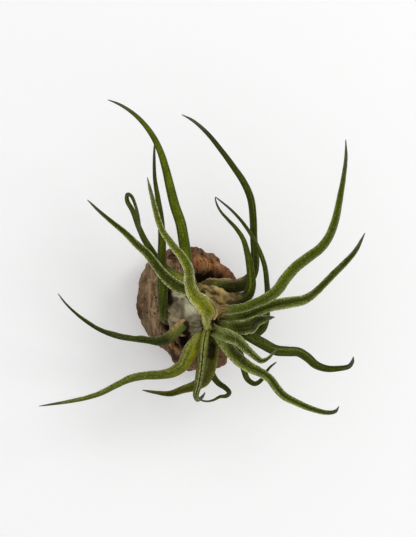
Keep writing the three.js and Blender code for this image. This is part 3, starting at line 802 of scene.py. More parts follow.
@dataclass
class Leaf:
    """One leaf: a channelled blade along its own route.

    Attributes:
        name: The CAD node that it stands for.
        finish: Its skin.
        curl: Half the arc of its channel in degrees, so past 90 the blade is a tube with a slit.
        keel: How sharply its middle is folded, as a share of its half width.
        age: From 0, fresh, to more than 1, old, which darkens it.
        flare: How much its base widens where it hugs the bulb.
        route: From the root, inside the bulb, to the tip: x, y, z and width.
        roll: How its channel is rolled from facing up, in degrees: one angle, or one for each row.
        flank: Which side of its channel is paler with dust and painted sheen, from -1 to 1, where 0 is
            neither.
        withered: How far up its dry base reaches, and the share of each half that is dry, from the rim.
        pits: Hollows pressed into its base, with painted shade in them, and folds standing up, with a painted
            highlight.
        ripple: How much more than usual its rims rise and fall, as a share of its half width.
    """

    name: str
    finish: LeafFinish
    curl: float
    keel: float
    age: float
    flare: float
    route: Rows
    roll: float | tuple[float, ...] = 0.0
    flank: float = 0.0
    withered: tuple[float, float, float] = (0.0, 0.0, 0.0)
    pits: tuple[Pit, ...] = ()
    ripple: float = 0.0

    def samples(self) -> dict[str, np.ndarray]:
        """Follows the route in small even steps.

        Returns:
            For each step: its point, opening (where its channel faces), half_width, along (0 to 1) and reach,
            in millimetres from the root.
        """
        table = np.array(self.route, dtype=float)
        fine = np.array([through(table[:, :3], k / ROUTE_DIVISIONS) for k in range(ROUTE_DIVISIONS + 1)])
        reach = np.concatenate(([0], np.cumsum(np.linalg.norm(np.diff(fine, axis=0), axis=1))))
        steps = math.ceil(reach[-1] / SAMPLE_STEP)
        wanted = np.linspace(0, reach[-1] * (1 - TIP_SHORT), steps + 1)
        place = np.interp(wanted, reach, np.linspace(0, 1, len(reach)))
        points = np.array([through(table[:, :3], p) for p in place])
        heading = np.gradient(points, axis=0)
        heading /= np.linalg.norm(heading, axis=1, keepdims=True)
        along = wanted / reach[-1]
        rolls = np.broadcast_to(np.array(self.roll, dtype=float), len(table))
        at, knots = place * (len(table) - 1), np.arange(len(table))
        width, roll = (
            np.convolve(np.pad(np.interp(at, knots, column), n // 2, "edge"), np.ones(n) / n, "valid")
            for column, n in ((table[:, 3], EVEN_WIDTH), (rolls, EVEN_ROLL))
        )
        width *= 1 + self.flare * np.exp(-((along / FLARE_SHARE) ** 2))
        tail = np.clip((1 - along) / TAIL_SHARE, 0, 1)
        half = TIP_HALF_WIDTH + (width / 2 - TIP_HALF_WIDTH) * np.sqrt(tail)
        opening = CHANNELS_FACE - points
        opening -= heading * np.sum(opening * heading, axis=1, keepdims=True)
        opening /= np.linalg.norm(opening, axis=1, keepdims=True)
        turn = np.radians(roll)[:, None]
        opening = opening * np.cos(turn) + np.cross(heading, opening) * np.sin(turn)
        return {"point": points, "opening": opening, "half_width": half, "along": along, "reach": wanted}

    def section(self) -> Object:
        """Draws the channel's closed section for a half width of 1.

        Returns:
            An object with one loop of edges, in the plane that the sweep lays across the route.
        """
        arc = math.radians(self.curl)
        radius = 1 / math.sin(min(arc, math.pi / 2))
        widest = max(row[3] for row in self.route)
        wall = min(WALL_SHARE, BLADE_WALL / widest / radius * 2)
        lift = radius * (1 + math.cos(arc)) / 2
        share = np.linspace(-1, 1, SECTION_POINTS)
        outer = np.ones_like(share) + self.keel * np.exp(-((share / KEEL_SPREAD) ** 2))
        inner = outer - wall * (1 - RIM_THINNING * share**4)
        across = np.concatenate((share, share[::-1]))
        reach = np.concatenate((outer, inner[::-1]))
        flat = (lift - radius * reach * np.cos(arc * across), radius * reach * np.sin(arc * across))
        points = np.column_stack((*flat, np.zeros(len(across)))) / MM
        edges = [(k, (k + 1) % len(across)) for k in range(len(across))]
        values = {"across": across, "inside": np.repeat((0.0, 1.0), SECTION_POINTS)}
        return mesh_piece(f"section_{self.name}", points, [], values, edges=edges)

    def build(self, tree: NodeTree, skins: dict[LeafFinish, Material]) -> Object:
        """Grows the blade and lets it stand for its CAD node.

        Args:
            tree: The tree that sweeps blades.
            skins: The material of each leaf finish.

        Returns:
            The piece.
        """
        steps = self.samples()
        count = len(steps["along"])
        values = {key: steps[key] for key in ("opening", "along", "reach")}
        values["half_width"] = steps["half_width"] * MM
        values |= {"age": np.full(count, self.age), "flank": np.full(count, self.flank)}
        edges = [(k, k + 1) for k in range(count - 1)]
        route = mesh_piece(f"route_{self.name}", steps["point"], [], values, edges=edges)
        section = self.section()
        inputs = {
            "Section": section,
            "Ripple": self.ripple + (OPEN_RIPPLE if self.curl < 90 else ROLLED_RIPPLE),
            "Ripple length": RIPPLE_LENGTH * MM,
            "Seed": sum(map(ord, self.name)) % 97 / 7,
            "Skin": skins[self.finish],
        }
        piece = grow(route, tree, inputs, f"grown_{self.name}")
        bpy.data.objects.remove(section)
        face_outward(piece)
        self.wither(piece.data)
        take_place(piece, self.name)
        return piece

    def wither(self, mesh: Mesh) -> None:
        """Crumples the blade's dry base, presses its pits in, and marks both, with their painted shade, for
        the skin.

        Args:
            mesh: The swept blade.
        """
        across, reach, inside = (read_values(mesh, key) for key in ("across", "reach", "inside"))
        points, normals = np.zeros(len(across) * 3), np.zeros(len(across) * 3)
        mesh.vertices.foreach_get("co", points)
        mesh.vertices.foreach_get("normal", normals)
        points = points.reshape(-1, 3) / MM
        outward = normals.reshape(-1, 3) * (1 - 2 * inside[:, None])
        ends, first, second = self.withered
        share = np.where(across < 0, first, second)
        dry = np.clip((np.abs(across) - 1 + 1.3 * share) / 0.3, 0, 1)
        dry *= np.clip((ends - reach) / CRUMPLE_START, 0, 1)

        # Sharp folds that wander over 4 mm, about two over the blade's width, with a grit of 1.3 mm on them
        crumple = np.zeros(len(across))
        for i in np.flatnonzero(dry):
            bend = noise.noise(Vector(points[i]) / 4.0)
            spot = Vector((across[i] * 1.7 + bend, reach[i] / CRUMPLE_LENGTH, 0.3 * bend))
            crumple[i] = 1 - 3.4 * abs(noise.noise(spot)) + 0.22 * noise.noise(Vector(points[i]) / 1.3)
        points += outward * (CRUMPLE * dry * crumple)[:, None]
        # The hollows between the folds get painted shade
        fold = np.clip(0.55 - 0.7 * crumple, 0, 1)
        # Pits add painted shade; a fold that stands up takes painted shade out of the folds, as a painted
        # highlight
        pit = np.zeros(len(across))
        for hollow in self.pits:
            dark = hollow.press(points, 1 - across**4)
            pit = np.maximum(pit, dark)
            fold = np.clip(fold + np.minimum(dark, 0), 0, 1)
        mesh.vertices.foreach_set("co", (points * MM).ravel())
        for key, values in (("dry", dry), ("fold", fold), ("pit", pit)):
            mesh.attributes.new(key, "FLOAT", "POINT").data.foreach_set("value", values)
        mesh.update()


LEAVES: tuple[Leaf, ...] = (
    Leaf(
        "leaf_pale_middle", LeafFinish.YOUNG, curl=62, keel=0.1, age=0.1, flare=0.25,
        withered=(24, 0.2, 0.32), ripple=0.7,
        roll=(0, 0, 0, 0, 0, 0, 0, 0, 0, -5, -15, -20, -10, 0, 0, 0, 0, 0, 0),
        route=(
            (10.7, -9.8, 45.5, 2.8), (10.3, -9, 51, 3), (9.6, -7, 53.8, 3.2), (9.1, -4.6, 55.6, 3.8),
            (9.1, -2.7, 56.8, 4.4), (9.8, -0.9, 58, 9.2), (6.9, 3.4, 61, 7.8), (3.7, 6.4, 64, 6.5),
            (2.1, 9.6, 67.5, 5.8), (1.3, 13.5, 72, 5.2), (0.9, 19, 77, 4.8), (-1.7, 24.3, 81, 4.3),
            (-5.3, 28.4, 84, 3.7), (-8.7, 32.8, 87, 3.1), (-11.6, 37.4, 89.5, 2.8), (-13.4, 42.6, 92, 2.8),
            (-15, 49.2, 96.5, 2.3), (-16.5, 55, 101, 1.6), (-17.7, 60.4, 105, 0.7),
        ),
    ),
    Leaf(
        "leaf_short_folded", LeafFinish.SCALY, curl=68, keel=0.16, age=0.3, flare=0.3, ripple=2.4,
        pits=(
            Pit(12.7, -4.6, 2.4, 0.3, 1), Pit(30.8, -8.2, 1.3, 0.5, 0.6, 0.8, 3.2),
            Pit(32.2, -4.4, 1.1, 0.3, 0.5, 2.2, 0.9), Pit(23.6, -9.2, 1, 0.3, 0.4, 5.4, 0.3),
        ),
        roll=(-10, -15, -10, 10, 15, 20, 25, 30, 50),
        route=(
            (12.5, -6, 46, 4), (16, -7, 51.5, 4.8), (20.5, -7.9, 56.5, 6), (25, -7.7, 62, 7.2),
            (28.8, -6.6, 67.5, 7.4), (32.1, -4.3, 72, 5.4), (35.2, -3.6, 76, 4.2), (37.8, -2.9, 78, 2.2),
            (40.1, -2.9, 80, 0.7),
        ),
    ),
    Leaf(
        "leaf_short_hooked", LeafFinish.SCALY, curl=58, keel=0.1, age=0, flare=0.3, flank=-1, ripple=0.8,
        route=(
            (11.6, -9, 47, 4.4), (15.2, -10.6, 54.5, 5.6), (19, -11.8, 60.5, 6.2), (23.4, -13.9, 64, 5.4),
            (27, -17.4, 66, 4.1), (30.6, -20.6, 66.5, 3.3), (34, -23, 69, 2.6), (36.9, -21.9, 71.5, 1.7),
            (39, -19.8, 74, 1.2), (41, -17.6, 77, 0.7),
        ),
    ),
    Leaf(
        "leaf_folded_front", LeafFinish.OLIVE, curl=171, keel=0, age=1.3, flare=0.3,
        roll=(0, 0, 0, -10, -15, -10, 0, 0, 0, 0),
        route=(
            (10.2, -7.2, 45, 3), (8.6, -11, 50.5, 3.2), (7.6, -16, 53.5, 3.8), (6.8, -22, 53, 4),
            (5.9, -28.6, 50.5, 3.8), (5, -34.6, 46.5, 3.5), (4.1, -39.2, 42.5, 2.8), (4.9, -41.3, 38.5, 2),
            (6.9, -40.2, 35.5, 1.6), (8.4, -37.9, 34.2, 0.9),
        ),
    ),
    Leaf(
        "leaf_lower_left_long", LeafFinish.GOLDEN, curl=108, keel=0, age=0.2, flare=0.25,
        roll=(110, 115, 120, 120, 115, 110, 105, 100, 100, 100, 100, 100, 100, 100, 100, 100),
        route=(
            (9.4, -8, 41, 3), (7.4, -11, 45, 4.2), (5, -14, 48.5, 5.6), (2.8, -17.5, 50, 7.5),
            (0.9, -21.6, 49.5, 7.8), (-1.7, -25.7, 48, 7.1), (-6, -28.6, 46, 6.6), (-12.5, -30, 44, 5.5),
            (-19.5, -30.4, 42, 5.1), (-26.5, -31.9, 41, 4.7), (-32.8, -34.9, 41, 3.8),
            (-39.5, -38.3, 42, 3.4), (-46.5, -40.5, 44, 2.9), (-54, -42, 48, 2.3), (-61.5, -43.1, 53, 1.4),
            (-68, -43.9, 58, 0.7),
        ),
    ),
    Leaf(
        "leaf_right_upper_long", LeafFinish.FRESH, curl=75, keel=0.18, age=0.4, flare=0.3, flank=1,
        withered=(13, 1, 1),
        pits=(Pit(12.7, -4.6, 2.4, 0.3, 1),),
        roll=(-20, -32, -38, -36, -20, 0, 0, 0, 0, 0, 0, 0, 15, 25, 25, 25, 35),
        route=(
            (12, -4, 47, 4), (15.5, -1, 52.5, 4.8), (20.5, -0.3, 56, 4.9), (25.4, 0.6, 58.5, 4.8),
            (30.4, 2.6, 60, 4.7), (36, 5.2, 61, 4.9), (41.4, 9.2, 61.5, 5.2), (45.2, 14.6, 61, 5.2),
            (50, 19.9, 60.5, 5), (55.8, 24.4, 60, 4.8), (61.2, 28.5, 60, 4.4), (65.1, 33.9, 61.5, 4.1),
            (67.9, 42, 64, 3.6), (69.6, 51, 68, 3), (71.1, 60, 73, 2.4), (72.2, 69.2, 78, 1.7),
            (72.1, 78, 82, 0.7),
        ),
    ),
    Leaf(
        "leaf_right_long", LeafFinish.SCALY, curl=72, keel=0.18, age=0.6, flare=0.3, flank=1,
        withered=(9, 0.5, 0.3),
        pits=(Pit(12.7, -4.6, 2.4, 0.3, 1),),
        roll=(-10, -24, -30, -24, 0, 0, 0, 0, 0, 0, 0, 0, 0, 0, 0),
        route=(
            (12.5, -5.4, 46, 3.6), (16.5, -4, 50, 4), (21, -3.8, 52.5, 4.2), (26, -3, 54, 4.2),
            (31.5, -1, 54.7, 4.4), (37, 1.4, 54.5, 4.9), (42.5, 2.8, 54, 5.4), (48, 3.7, 52.5, 5.2),
            (53.8, 4.8, 51, 4.5), (58.3, 7.6, 50.8, 3.7), (62.5, 11.6, 51.5, 3.4), (67.4, 16.7, 53.5, 3.3),
            (72.6, 21.9, 56, 3), (77.2, 27.3, 60, 2.3), (81.4, 35.6, 65, 0.7),
        ),
    ),
    Leaf(
        "leaf_lower_right_long", LeafFinish.SCALY, curl=66, keel=0.12, age=0.2, flare=0.25, flank=1,
        pits=(Pit(19.8, -16.2, 1.5, 0.3, 0.6, 6.8, -6.4),),
        route=(
            (12, -7, 45, 4.2), (14.6, -11, 48.5, 5.2), (17.3, -15, 50, 5.8), (20.6, -19.4, 50, 5.9),
            (24.6, -23.4, 49, 5.8), (29.4, -26.6, 47, 5.1), (34.4, -29, 45.3, 4.2), (38.2, -31.8, 43.5, 4),
            (41.2, -35.8, 42, 4.1), (44.6, -39.5, 40.5, 3.8), (50, -42.4, 39.5, 3.3), (57, -45.4, 39, 2.8),
            (64, -47.2, 40.5, 2.3), (68.2, -46.6, 44, 1.8), (69.9, -44, 48, 0.8),
        ),
    ),
    Leaf(
        "leaf_broad_front", LeafFinish.SHADE, curl=66, keel=0.1, age=0.1, flare=0.2, flank=1,
        withered=(13, 0.6, 0.6),
        pits=(Pit(11.6, -16.4, 2.4, 0.8, 0.9, -0.4, -4.6),),
        route=(
            (11.6, -9, 36, 5.4), (11.8, -12.8, 43.5, 6.6), (11.6, -16.5, 46.6, 6.8), (11, -21.5, 45, 6.5),
            (10, -27.3, 41, 6.4), (7.6, -32.6, 36, 5.6), (3.2, -35.2, 32.5, 4.6), (-2, -36.8, 31.5, 3.6),
            (-7.6, -38.6, 32.5, 2.8), (-13.4, -38.2, 36, 1.9), (-20.8, -36.8, 41, 0.7),
        ),
    ),
    Leaf(
        "leaf_inner_thin", LeafFinish.DEEP, curl=72, keel=0, age=0.2, flare=0, roll=180,
        withered=(26, 1, 1),
        pits=(
            Pit(7.4, 8.3, 1.8, 1.2, 0.9), Pit(9.9, 11.6, 1.1, 0.8, 0.55, 1.8, -1.6),
            Pit(12, 8.6, 1.5, 0.5, 0.45, 1.4, -6), Pit(17.5, 5.6, 2.2, 0.6, 0.5, 3.4, -0.8),
            Pit(22.6, 7.6, 1.6, 1.2, 0.85, 1.6, 1), Pit(5.4, 13.2, 1.5, -0.7, -0.6, 3.6, -1.8),
            Pit(12.6, 10.6, 1.7, -0.9, -0.7, 5.4, -3.2), Pit(20, 5.6, 4.2, 0, 0.45, 6, 0.6),
            Pit(19.5, 3, 2.4, 0.2, 0.85, 5.5, 0.6),
        ),
        route=(
            (6, 5, 40, 5), (7.6, 8.4, 44.5, 7), (12.5, 7, 46.8, 7.6), (17.8, 5.7, 48.2, 5.8),
            (23, 5.4, 49.2, 5.4), (27.4, 6.4, 50, 5.2), (29.4, 11, 51.5, 4.5), (29.3, 16, 53, 3.9),
            (28.7, 21, 54.6, 3.5), (27.5, 26.6, 57, 2.8), (25.7, 32.4, 59.5, 2.3), (22.6, 37.2, 62, 1.9),
            (18.7, 41.4, 66, 1.5), (15.4, 45.1, 70, 1.2), (13.6, 48.5, 73, 0.9), (12.8, 51.7, 76, 0.7),
        ),
    ),
    Leaf(
        "leaf_upper_left", LeafFinish.SCALY, curl=74, keel=0.12, age=1.15, flare=0.25,
        route=(
            (9, 1, 41, 3.6), (2, 8.2, 51.5, 5.2), (-4.5, 11, 55.5, 5.8), (-9.4, 14.8, 58, 5.2),
            (-14, 20.4, 60, 4.4), (-18.2, 25.9, 62, 3.8), (-22.8, 30.1, 65, 3.4), (-28.4, 35.6, 68, 2.8),
            (-34.2, 40.4, 72, 2.2), (-39.6, 45, 77, 1.6), (-45.2, 50.4, 83, 0.7),
        ),
    ),
    Leaf(
        "leaf_left_low", LeafFinish.DEEP, curl=108, keel=0, age=1.3, flare=0.2, withered=(13, 0.45, 0.35),
        ripple=0.3,
        roll=(125, 125, 125, 120, 110, 100, 100, 100, 100, 100, 100, 100, 100),
        route=(
            (1.6, -6.2, 38.5, 4), (-1.9, -7.6, 43.2, 5.4), (-5.4, -10.6, 42.4, 6), (-9.4, -14, 39.5, 5.7),
            (-13.2, -14.8, 38, 4.9), (-17.6, -14.1, 37, 4.6), (-24, -13.4, 36, 4), (-31.6, -12.3, 36, 3.5),
            (-39.2, -9.6, 38, 2.9), (-45.9, -5.6, 41, 2.4), (-51.4, -1.3, 45, 1.6), (-56, 3.4, 50, 1.1),
            (-59.2, 7.8, 55, 0.7),
        ),
    ),
    Leaf(
        "leaf_right_low", LeafFinish.DEEP, curl=105, keel=0, age=0.8, flare=0.2, roll=180,
        route=(
            (14, -3, 37, 4), (22, -8, 40, 4.4), (29, -12.2, 42, 5), (34.6, -15.3, 42, 5.2),
            (40.6, -18.4, 41.5, 5), (46.3, -19, 40, 4.6), (51.2, -19.4, 38, 4.4), (55.4, -21.9, 36, 4.3),
            (59.2, -25.2, 35, 3.9), (64.2, -27, 35, 3.2), (70, -26.9, 37, 2.6), (74.2, -26, 40, 2.2),
            (75.9, -23.8, 43.5, 1.7), (76.4, -21.2, 47, 0.8),
        ),
    ),
    Leaf(
        "leaf_top_right_long", LeafFinish.DEEP, curl=95, keel=0, age=1.1, flare=0.2, roll=180,
        withered=(27, 0.1, 0.5),
        pits=(
            Pit(14, 9.4, 3.4, 0, 0.6, 9, -0.6), Pit(8, 12.4, 2.6, 0, 0.7, 3, 0.4),
            Pit(15, 10, 4.4, 0, 0.5, 13, 0.4),
        ),
        route=(
            (6, 7, 39, 4), (9, 10.8, 42, 4.8), (14.5, 11.5, 42.6, 5.4), (20, 10.9, 42.6, 6.2),
            (25.7, 11.8, 43, 6), (29.7, 15.8, 44, 4.8), (31.2, 21, 45.5, 4), (31.1, 26.5, 47.5, 3.7),
            (30.6, 33, 50, 3.4), (30.3, 41.5, 54, 3.4), (29.2, 50.6, 58.5, 3.4), (26.1, 58, 63, 3.2),
            (21.2, 65.3, 67.5, 2.8), (15.6, 72.8, 73, 2.4), (9.1, 80.6, 79.5, 2), (2.7, 86.1, 85, 1.4),
            (-2.6, 88.9, 89, 0.7),
        ),
    ),
    Leaf(
        "leaf_top_long", LeafFinish.LUSH, curl=105, keel=0, age=0, flare=0.2, roll=180,
        route=(
            (5, 6, 33, 4.4), (2, 12, 36.5, 4.8), (0.5, 18, 41, 4.9), (-0.3, 24.5, 45, 5),
            (-1.3, 31, 48.5, 5.1), (-2.8, 39.5, 52, 4.9), (-5.6, 48, 55, 4.6), (-7.6, 56, 58, 4.2),
            (-9.6, 64.4, 62, 3.6), (-12, 72.2, 66, 3.1), (-15.5, 79.4, 71, 2.7), (-20.2, 85.6, 76, 2.2),
            (-25.6, 90.4, 82, 1.7), (-31, 93.6, 87, 1.2), (-36, 95.5, 91, 0.7),
        ),
    ),
    Leaf(
        "leaf_left_upright", LeafFinish.DEEP, curl=105, keel=0, age=0.7, flare=0.2, withered=(16, 0.4, 0.4),
        pits=(Pit(-8.4, -6.4, 2.8, 0, 0.8, 3, 0),),
        roll=(60, 70, 80, 100, 120, 140, 160, 180, 180, 180, 180, 180, 180, 180),
        route=(
            (0, -2, 31, 3.6), (-5, -5, 31, 4), (-9, -5.6, 32, 4.4), (-10.9, -3.4, 34.5, 4.8),
            (-11.4, 1, 37, 4.9), (-11.6, 7, 39, 4.7), (-11.6, 16, 42, 4.4), (-11.5, 25, 45, 4),
            (-11.4, 33, 48, 3.6), (-12, 42.5, 51.5, 3), (-13.3, 51.5, 55, 2.4), (-14.6, 60, 58, 1.8),
            (-14.9, 69, 60, 1.4), (-14.7, 78, 62, 0.7),
        ),
    ),
    Leaf(
        "leaf_bottom_curl", LeafFinish.DEEP, curl=105, keel=0, age=0.9, flare=0.1, roll=180,
        route=(
            (10.5, -5, 33, 3.2), (11, -14, 33, 3.1), (11, -22, 31.5, 3.1), (11.6, -29.5, 28.5, 3),
            (14.3, -33.6, 28, 2.8), (17.6, -35.9, 29.5, 2.4), (19.4, -38, 32.5, 2.2),
            (18, -39.6, 35.5, 1.9), (15.2, -39.9, 37.5, 1.5), (12.4, -41.3, 40, 1.1),
            (9.4, -41.9, 43.5, 0.9), (6.6, -41.3, 46, 0.9), (5.2, -39.6, 48, 0.7),
        ),
    ),
    Leaf(
        "leaf_small_hook", LeafFinish.DEEP, curl=105, keel=0, age=0.8, flare=0.1, roll=180,
        route=(
            (15, -3, 32, 3), (21, -11, 34, 3.2), (24.4, -20, 35.5, 3.2), (26.2, -27.5, 36, 2.9),
            (27.8, -31.8, 37, 2.6), (31.2, -33.9, 39, 2.3), (34.3, -32, 41, 1.9), (36, -29, 42, 1.5),
            (38.2, -26.2, 44, 1.1), (41.2, -23.7, 48, 0.7),
        ),
    ),
    Leaf(
        "leaf_outer_thin", LeafFinish.DEEP, curl=105, keel=0, age=0.8, flare=0.1, roll=180,
        route=(
            (16, -2, 30, 3.4), (24, -7.5, 28.5, 3.8), (30.5, -10.8, 28.5, 4.2), (34.2, -9, 30.5, 4),
            (36, -5, 33.5, 3.7), (36.7, 0.5, 37.5, 3.2), (37, 6, 42, 2.8), (36.6, 12.5, 48, 2.5),
            (35.6, 20, 54.5, 2.3), (33, 27.4, 61, 2.1), (29.3, 34.4, 67.5, 1.8), (24.9, 40.6, 73.5, 1.5),
            (20.2, 45.6, 79.5, 1.2), (15.9, 49.2, 85, 0.9), (12.7, 51.7, 89, 0.7),
        ),
    ),
    Leaf(
        "leaf_looped", LeafFinish.MOSSY, curl=105, keel=0, age=0.7, flare=0.1, roll=180,
        route=(
            (4, 7, 33, 4), (-1.4, 13.2, 38, 6), (-6.9, 16.2, 38.6, 5.4), (-12.4, 21.2, 37.5, 4),
            (-16.7, 27.8, 39.5, 3.2), (-19.7, 32.8, 44, 2.9), (-22.2, 38.4, 49, 2.6),
            (-24.7, 45.3, 55, 2.4), (-27.2, 50, 60.5, 2.1), (-27, 52.8, 64, 1.8), (-25.1, 51.8, 66.5, 1.6),
            (-22.9, 46.2, 67.5, 1.4), (-21.6, 40, 66, 1.2), (-21.3, 34.5, 63, 0.7),
        ),
    ),
)


# Wood


@dataclass
class WoodLump:
    """The knobbly lump of wood that the plant grows on.

    Attributes:
        radii: Half its width, depth and height before its foot is cut flat.
        middle: Its middle.
        swells: Broad swells and hollows: bearing, elevation and spread in degrees, and height.
        knobs: Rounded burl knobs that stand shoulder to shoulder, in the same terms.
        red: Where the wood is reddish, in the same terms, with a strength in place of a height.
        brown: Where it is a darker brown, and its knobs are rounder and crisper.
        tan: Where its bark has flaked off.
        wear_and_highlight: Where knobs are rubbed pale by wear, and where a highlight is painted on them.
        gloom: Where painted shade darkens it, in hollows under the plant.
        facets: How often the ball it starts from is divided.
        seed: Where its random relief starts.
        warp: The fixed seed of the noise that bends the knobs' outlines.
        warp_fineness: How many of those bends fit into the lump's radius.
        warp_reach: How far they go, as a share of its radius.
        lump_height: How high its random lumps are.
        lump_length: How long they are.
        grain: The size of a furrow of its bark along x, y and z.
        groove_length: How far apart the winding grooves between its knobs are.
        nodule_length: How far apart the small nodules on its knobs are.
        chip_length: How long its small chips are.
        grit_length: How long its finest grit is.
    """

    radii: tuple[float, float, float] = (23, 28, 17.5)
    middle: tuple[float, float, float] = (0, 0, 11)
    swells: Rows = (
        (100, 20, 22, 1.2), (140, 26, 20, 2), (143, 0, 14, 1.6), (158, 2, 22, 0.8), (190, 30, 14, -1.4),
        (213, 62, 7, -1.4), (261, 66, 8, -1.2), (110, 26, 6, -0.8), (203, 2, 16, -2.6), (232, 8, 21, -7),
        (240, -20, 20, -2.4), (268, 12, 14, -1.2), (290, 28, 12, -2), (307, 4, 15, 4.6), (338, 16, 14, 1.6),
        (352, 2, 18, -1.6), (134, -16, 16, -1.6), (60, -18, 16, -1.8), (22, 30, 14, -2.2),
        (55, 60, 15, -3.2), (47, 42, 10, -1.4), (66, 53, 9, -1.2), (37, 29, 8, -1), (50, 4, 5, -1.6),
        (148, 62, 9, -2),
    )
    knobs: Rows = (
        (68, 41, 13, 3.2), (80, 20, 13, 2.2), (79, 4, 12, 1.4), (57, 12, 11, 2.8), (55, 33, 9, 1.6),
        (44, 25, 12, 2.6), (34, 16, 12, 3.2), (31, 2, 12, 3), (93, 26, 10, 1.6), (108, 38, 11, 2.4),
        (28, -14, 12, 1.6), (106, 8, 12, 1.6), (128, 12, 13, 1.8), (146, 46, 12, 2), (168, 24, 13, 1.6),
        (196, 14, 10, 1.4), (246, 48, 7, 3.2), (256, 16, 9, 2), (274, -4, 12, 1.2), (310, -8, 12, 1.6),
        (336, -6, 12, 1.8),
    )
    red: Rows = (
        (68, 41, 10, 2.2), (46, 22, 9, 0.5), (246, 49, 7, 1.2),
    )
    brown: Rows = (
        (55, 20, 30, 1.3), (30, 0, 34, 1), (300, 5, 40, 0.9), (95, 25, 20, 0.7), (240, 30, 18, 0.7),
        (180, 2, 24, 1),
    )
    tan: Rows = (
        (167, 44, 10, 0.5), (208, 50, 11, 0.6), (168, 48, 15, 0.9), (114, 41, 7, 1.3), (104, 43, 11, 1.2),
        (180, 53, 6, 0.9), (156, 40, 8, 0.7), (312, 14, 14, 0.9), (310, 35, 10, 0.9),
    )
    # Knobs rubbed pale by wear, some with a painted highlight
    wear_and_highlight: Rows = (
        (60, 39, 4.5, 1), (52, 24, 5, 0.8), (76, 34, 6, 0.5), (64, 18, 7, 0.3), (248, 49, 8, 0.8),
        (106, 40, 9, 0.35), (67, 45, 6, 0.5),
    )
    # Painted shade in the hollows under the plant
    gloom: Rows = (
        (48, 43, 8, 1.5), (66, 53, 8, 1.5), (37, 30, 6, 1.2), (110, 26, 6, 1), (106, 38, 3.5, 0.6),
        (79, 8, 4, 0.5), (54, 6, 4, 0.7), (148, 62, 7, 1.3), (213, 62, 7, 1.3), (261, 66, 8, 1.3),
        (262, 56, 6, 1), (250, 32, 8, 0.7), (184, 8, 26, 0.26),
    )
    facets: int = 7
    seed: float = 4.0
    warp: int = 10
    warp_fineness: float = 5.0
    warp_reach: float = 0.17
    lump_height: float = 0.7
    lump_length: float = 7.0
    grain: tuple[float, float, float] = (2.6, 9.0, 4.5)
    groove_length: float = 8.5
    nodule_length: float = 4.2
    chip_length: float = 2.2
    grit_length: float = 0.9

    def shares(self, directions: np.ndarray, place: tuple[float, ...]) -> np.ndarray:
        """Measures how far directions lie from a knob or swell.

        Args:
            directions: Unit vectors from the lump's middle.
            place: The knob or swell.

        Returns:
            The angles, as shares of its spread.
        """
        turn, lift = math.radians(place[0]), math.radians(place[1])
        towards = (math.cos(lift) * math.cos(turn), math.cos(lift) * math.sin(turn), math.sin(lift))
        return np.degrees(np.arccos(np.clip(directions @ np.array(towards), -1, 1))) / place[2]

    def stain(self, directions: np.ndarray, places: Rows) -> np.ndarray:
        """Adds up soft spots.

        Args:
            directions: Unit vectors from the lump's middle.
            places: The spots' bearing, elevation, spread and strength.

        Returns:
            Their sum for each direction.
        """
        return sum(p[3] * np.exp(-(self.shares(directions, p) ** 2)) for p in places)

    def relief(self, directions: np.ndarray) -> tuple[np.ndarray, np.ndarray]:
        """Gives the broad relief, close to the CAD lump's.

        Args:
            directions: Unit vectors from the lump's middle.

        Returns:
            The height over the rounded body, and the part of it that knobs give.
        """
        # Without this line noise_vector takes its offsets from the clock
        noise.seed_set(self.warp)
        bends = [noise.noise_vector(Vector(d) * self.warp_fineness) for d in directions]
        bent = directions + np.array(bends) * self.warp_reach
        bent /= np.linalg.norm(bent, axis=1, keepdims=True)
        crisp = np.clip(1.3 * self.stain(directions, self.brown), 0, 1)
        knob, merged = np.zeros(len(directions)), np.zeros(len(directions))
        for place in self.knobs:
            dome = np.clip(1 - self.shares(bent, place) ** 2, 0, 1)
            height = place[3] * dome ** (1.5 - 0.7 * crisp)
            knob = np.maximum(knob, height)
            merged = merged + height**3
        return self.stain(directions, self.swells) + np.cbrt(merged), knob

    def texture(self, rounded: np.ndarray, knobby: np.ndarray) -> tuple[np.ndarray, np.ndarray]:
        """Gives the random lumps, and the furrows, grooves, nodules, chips and grit on them.

        Args:
            rounded: Points of the rounded body.
            knobby: How much of a knob each lies on, from 0 to 1.

        Returns:
            The height of the lumps, and that of the rest.
        """
        # Furrows cut the bark up to 0.6 deep; knobs are pimpled by nodules and parted by winding grooves
        lumps, fine = np.zeros(len(rounded)), np.zeros(len(rounded))
        for i, spot in enumerate(rounded):
            at = Vector(spot) + Vector((self.seed,) * 3)
            lumps[i] = noise.fractal(at / self.lump_length, 1.0, 2.1, 3)
            furrow = Vector(a / length for a, length in zip(at, self.grain))
            crease = 1 - abs(noise.fractal(furrow, 1.0, 2.2, 4)) * 2.2
            grit = noise.noise(at / self.grit_length)
            nodule = noise.voronoi(at / self.nodule_length)[0][0]
            fine[i] = -0.6 * max(0.0, crease) ** 3
            fine[i] += knobby[i] * 0.25 * (0.45 - min(nodule, 0.8))
            groove = max(0.0, 1 - abs(noise.fractal(at / self.groove_length, 0.9, 2.0, 2)) * 6)
            fine[i] -= 0.7 * knobby[i] * groove
            chip = noise.fractal(at / self.chip_length, 0.8, 2.0, 3)
            fine[i] += 0.1 * grit + (0.16 - 0.06 * knobby[i]) * chip
        return lumps, fine

    def spread(self, heights: np.ndarray, links: np.ndarray, rounds: int) -> np.ndarray:
        """Evens heights out over the surface.

        Args:
            heights: One height for each point.
            links: The two points of each edge.
            rounds: How many times each point takes its neighbours' mean.

        Returns:
            The even heights.
        """
        count = np.bincount(links.ravel(), minlength=len(heights))
        even = heights
        for _ in range(rounds):
            total = np.bincount(links[:, 0], even[links[:, 1]], len(heights))
            total += np.bincount(links[:, 1], even[links[:, 0]], len(heights))
            even = (even + total / count) / 2
        return even

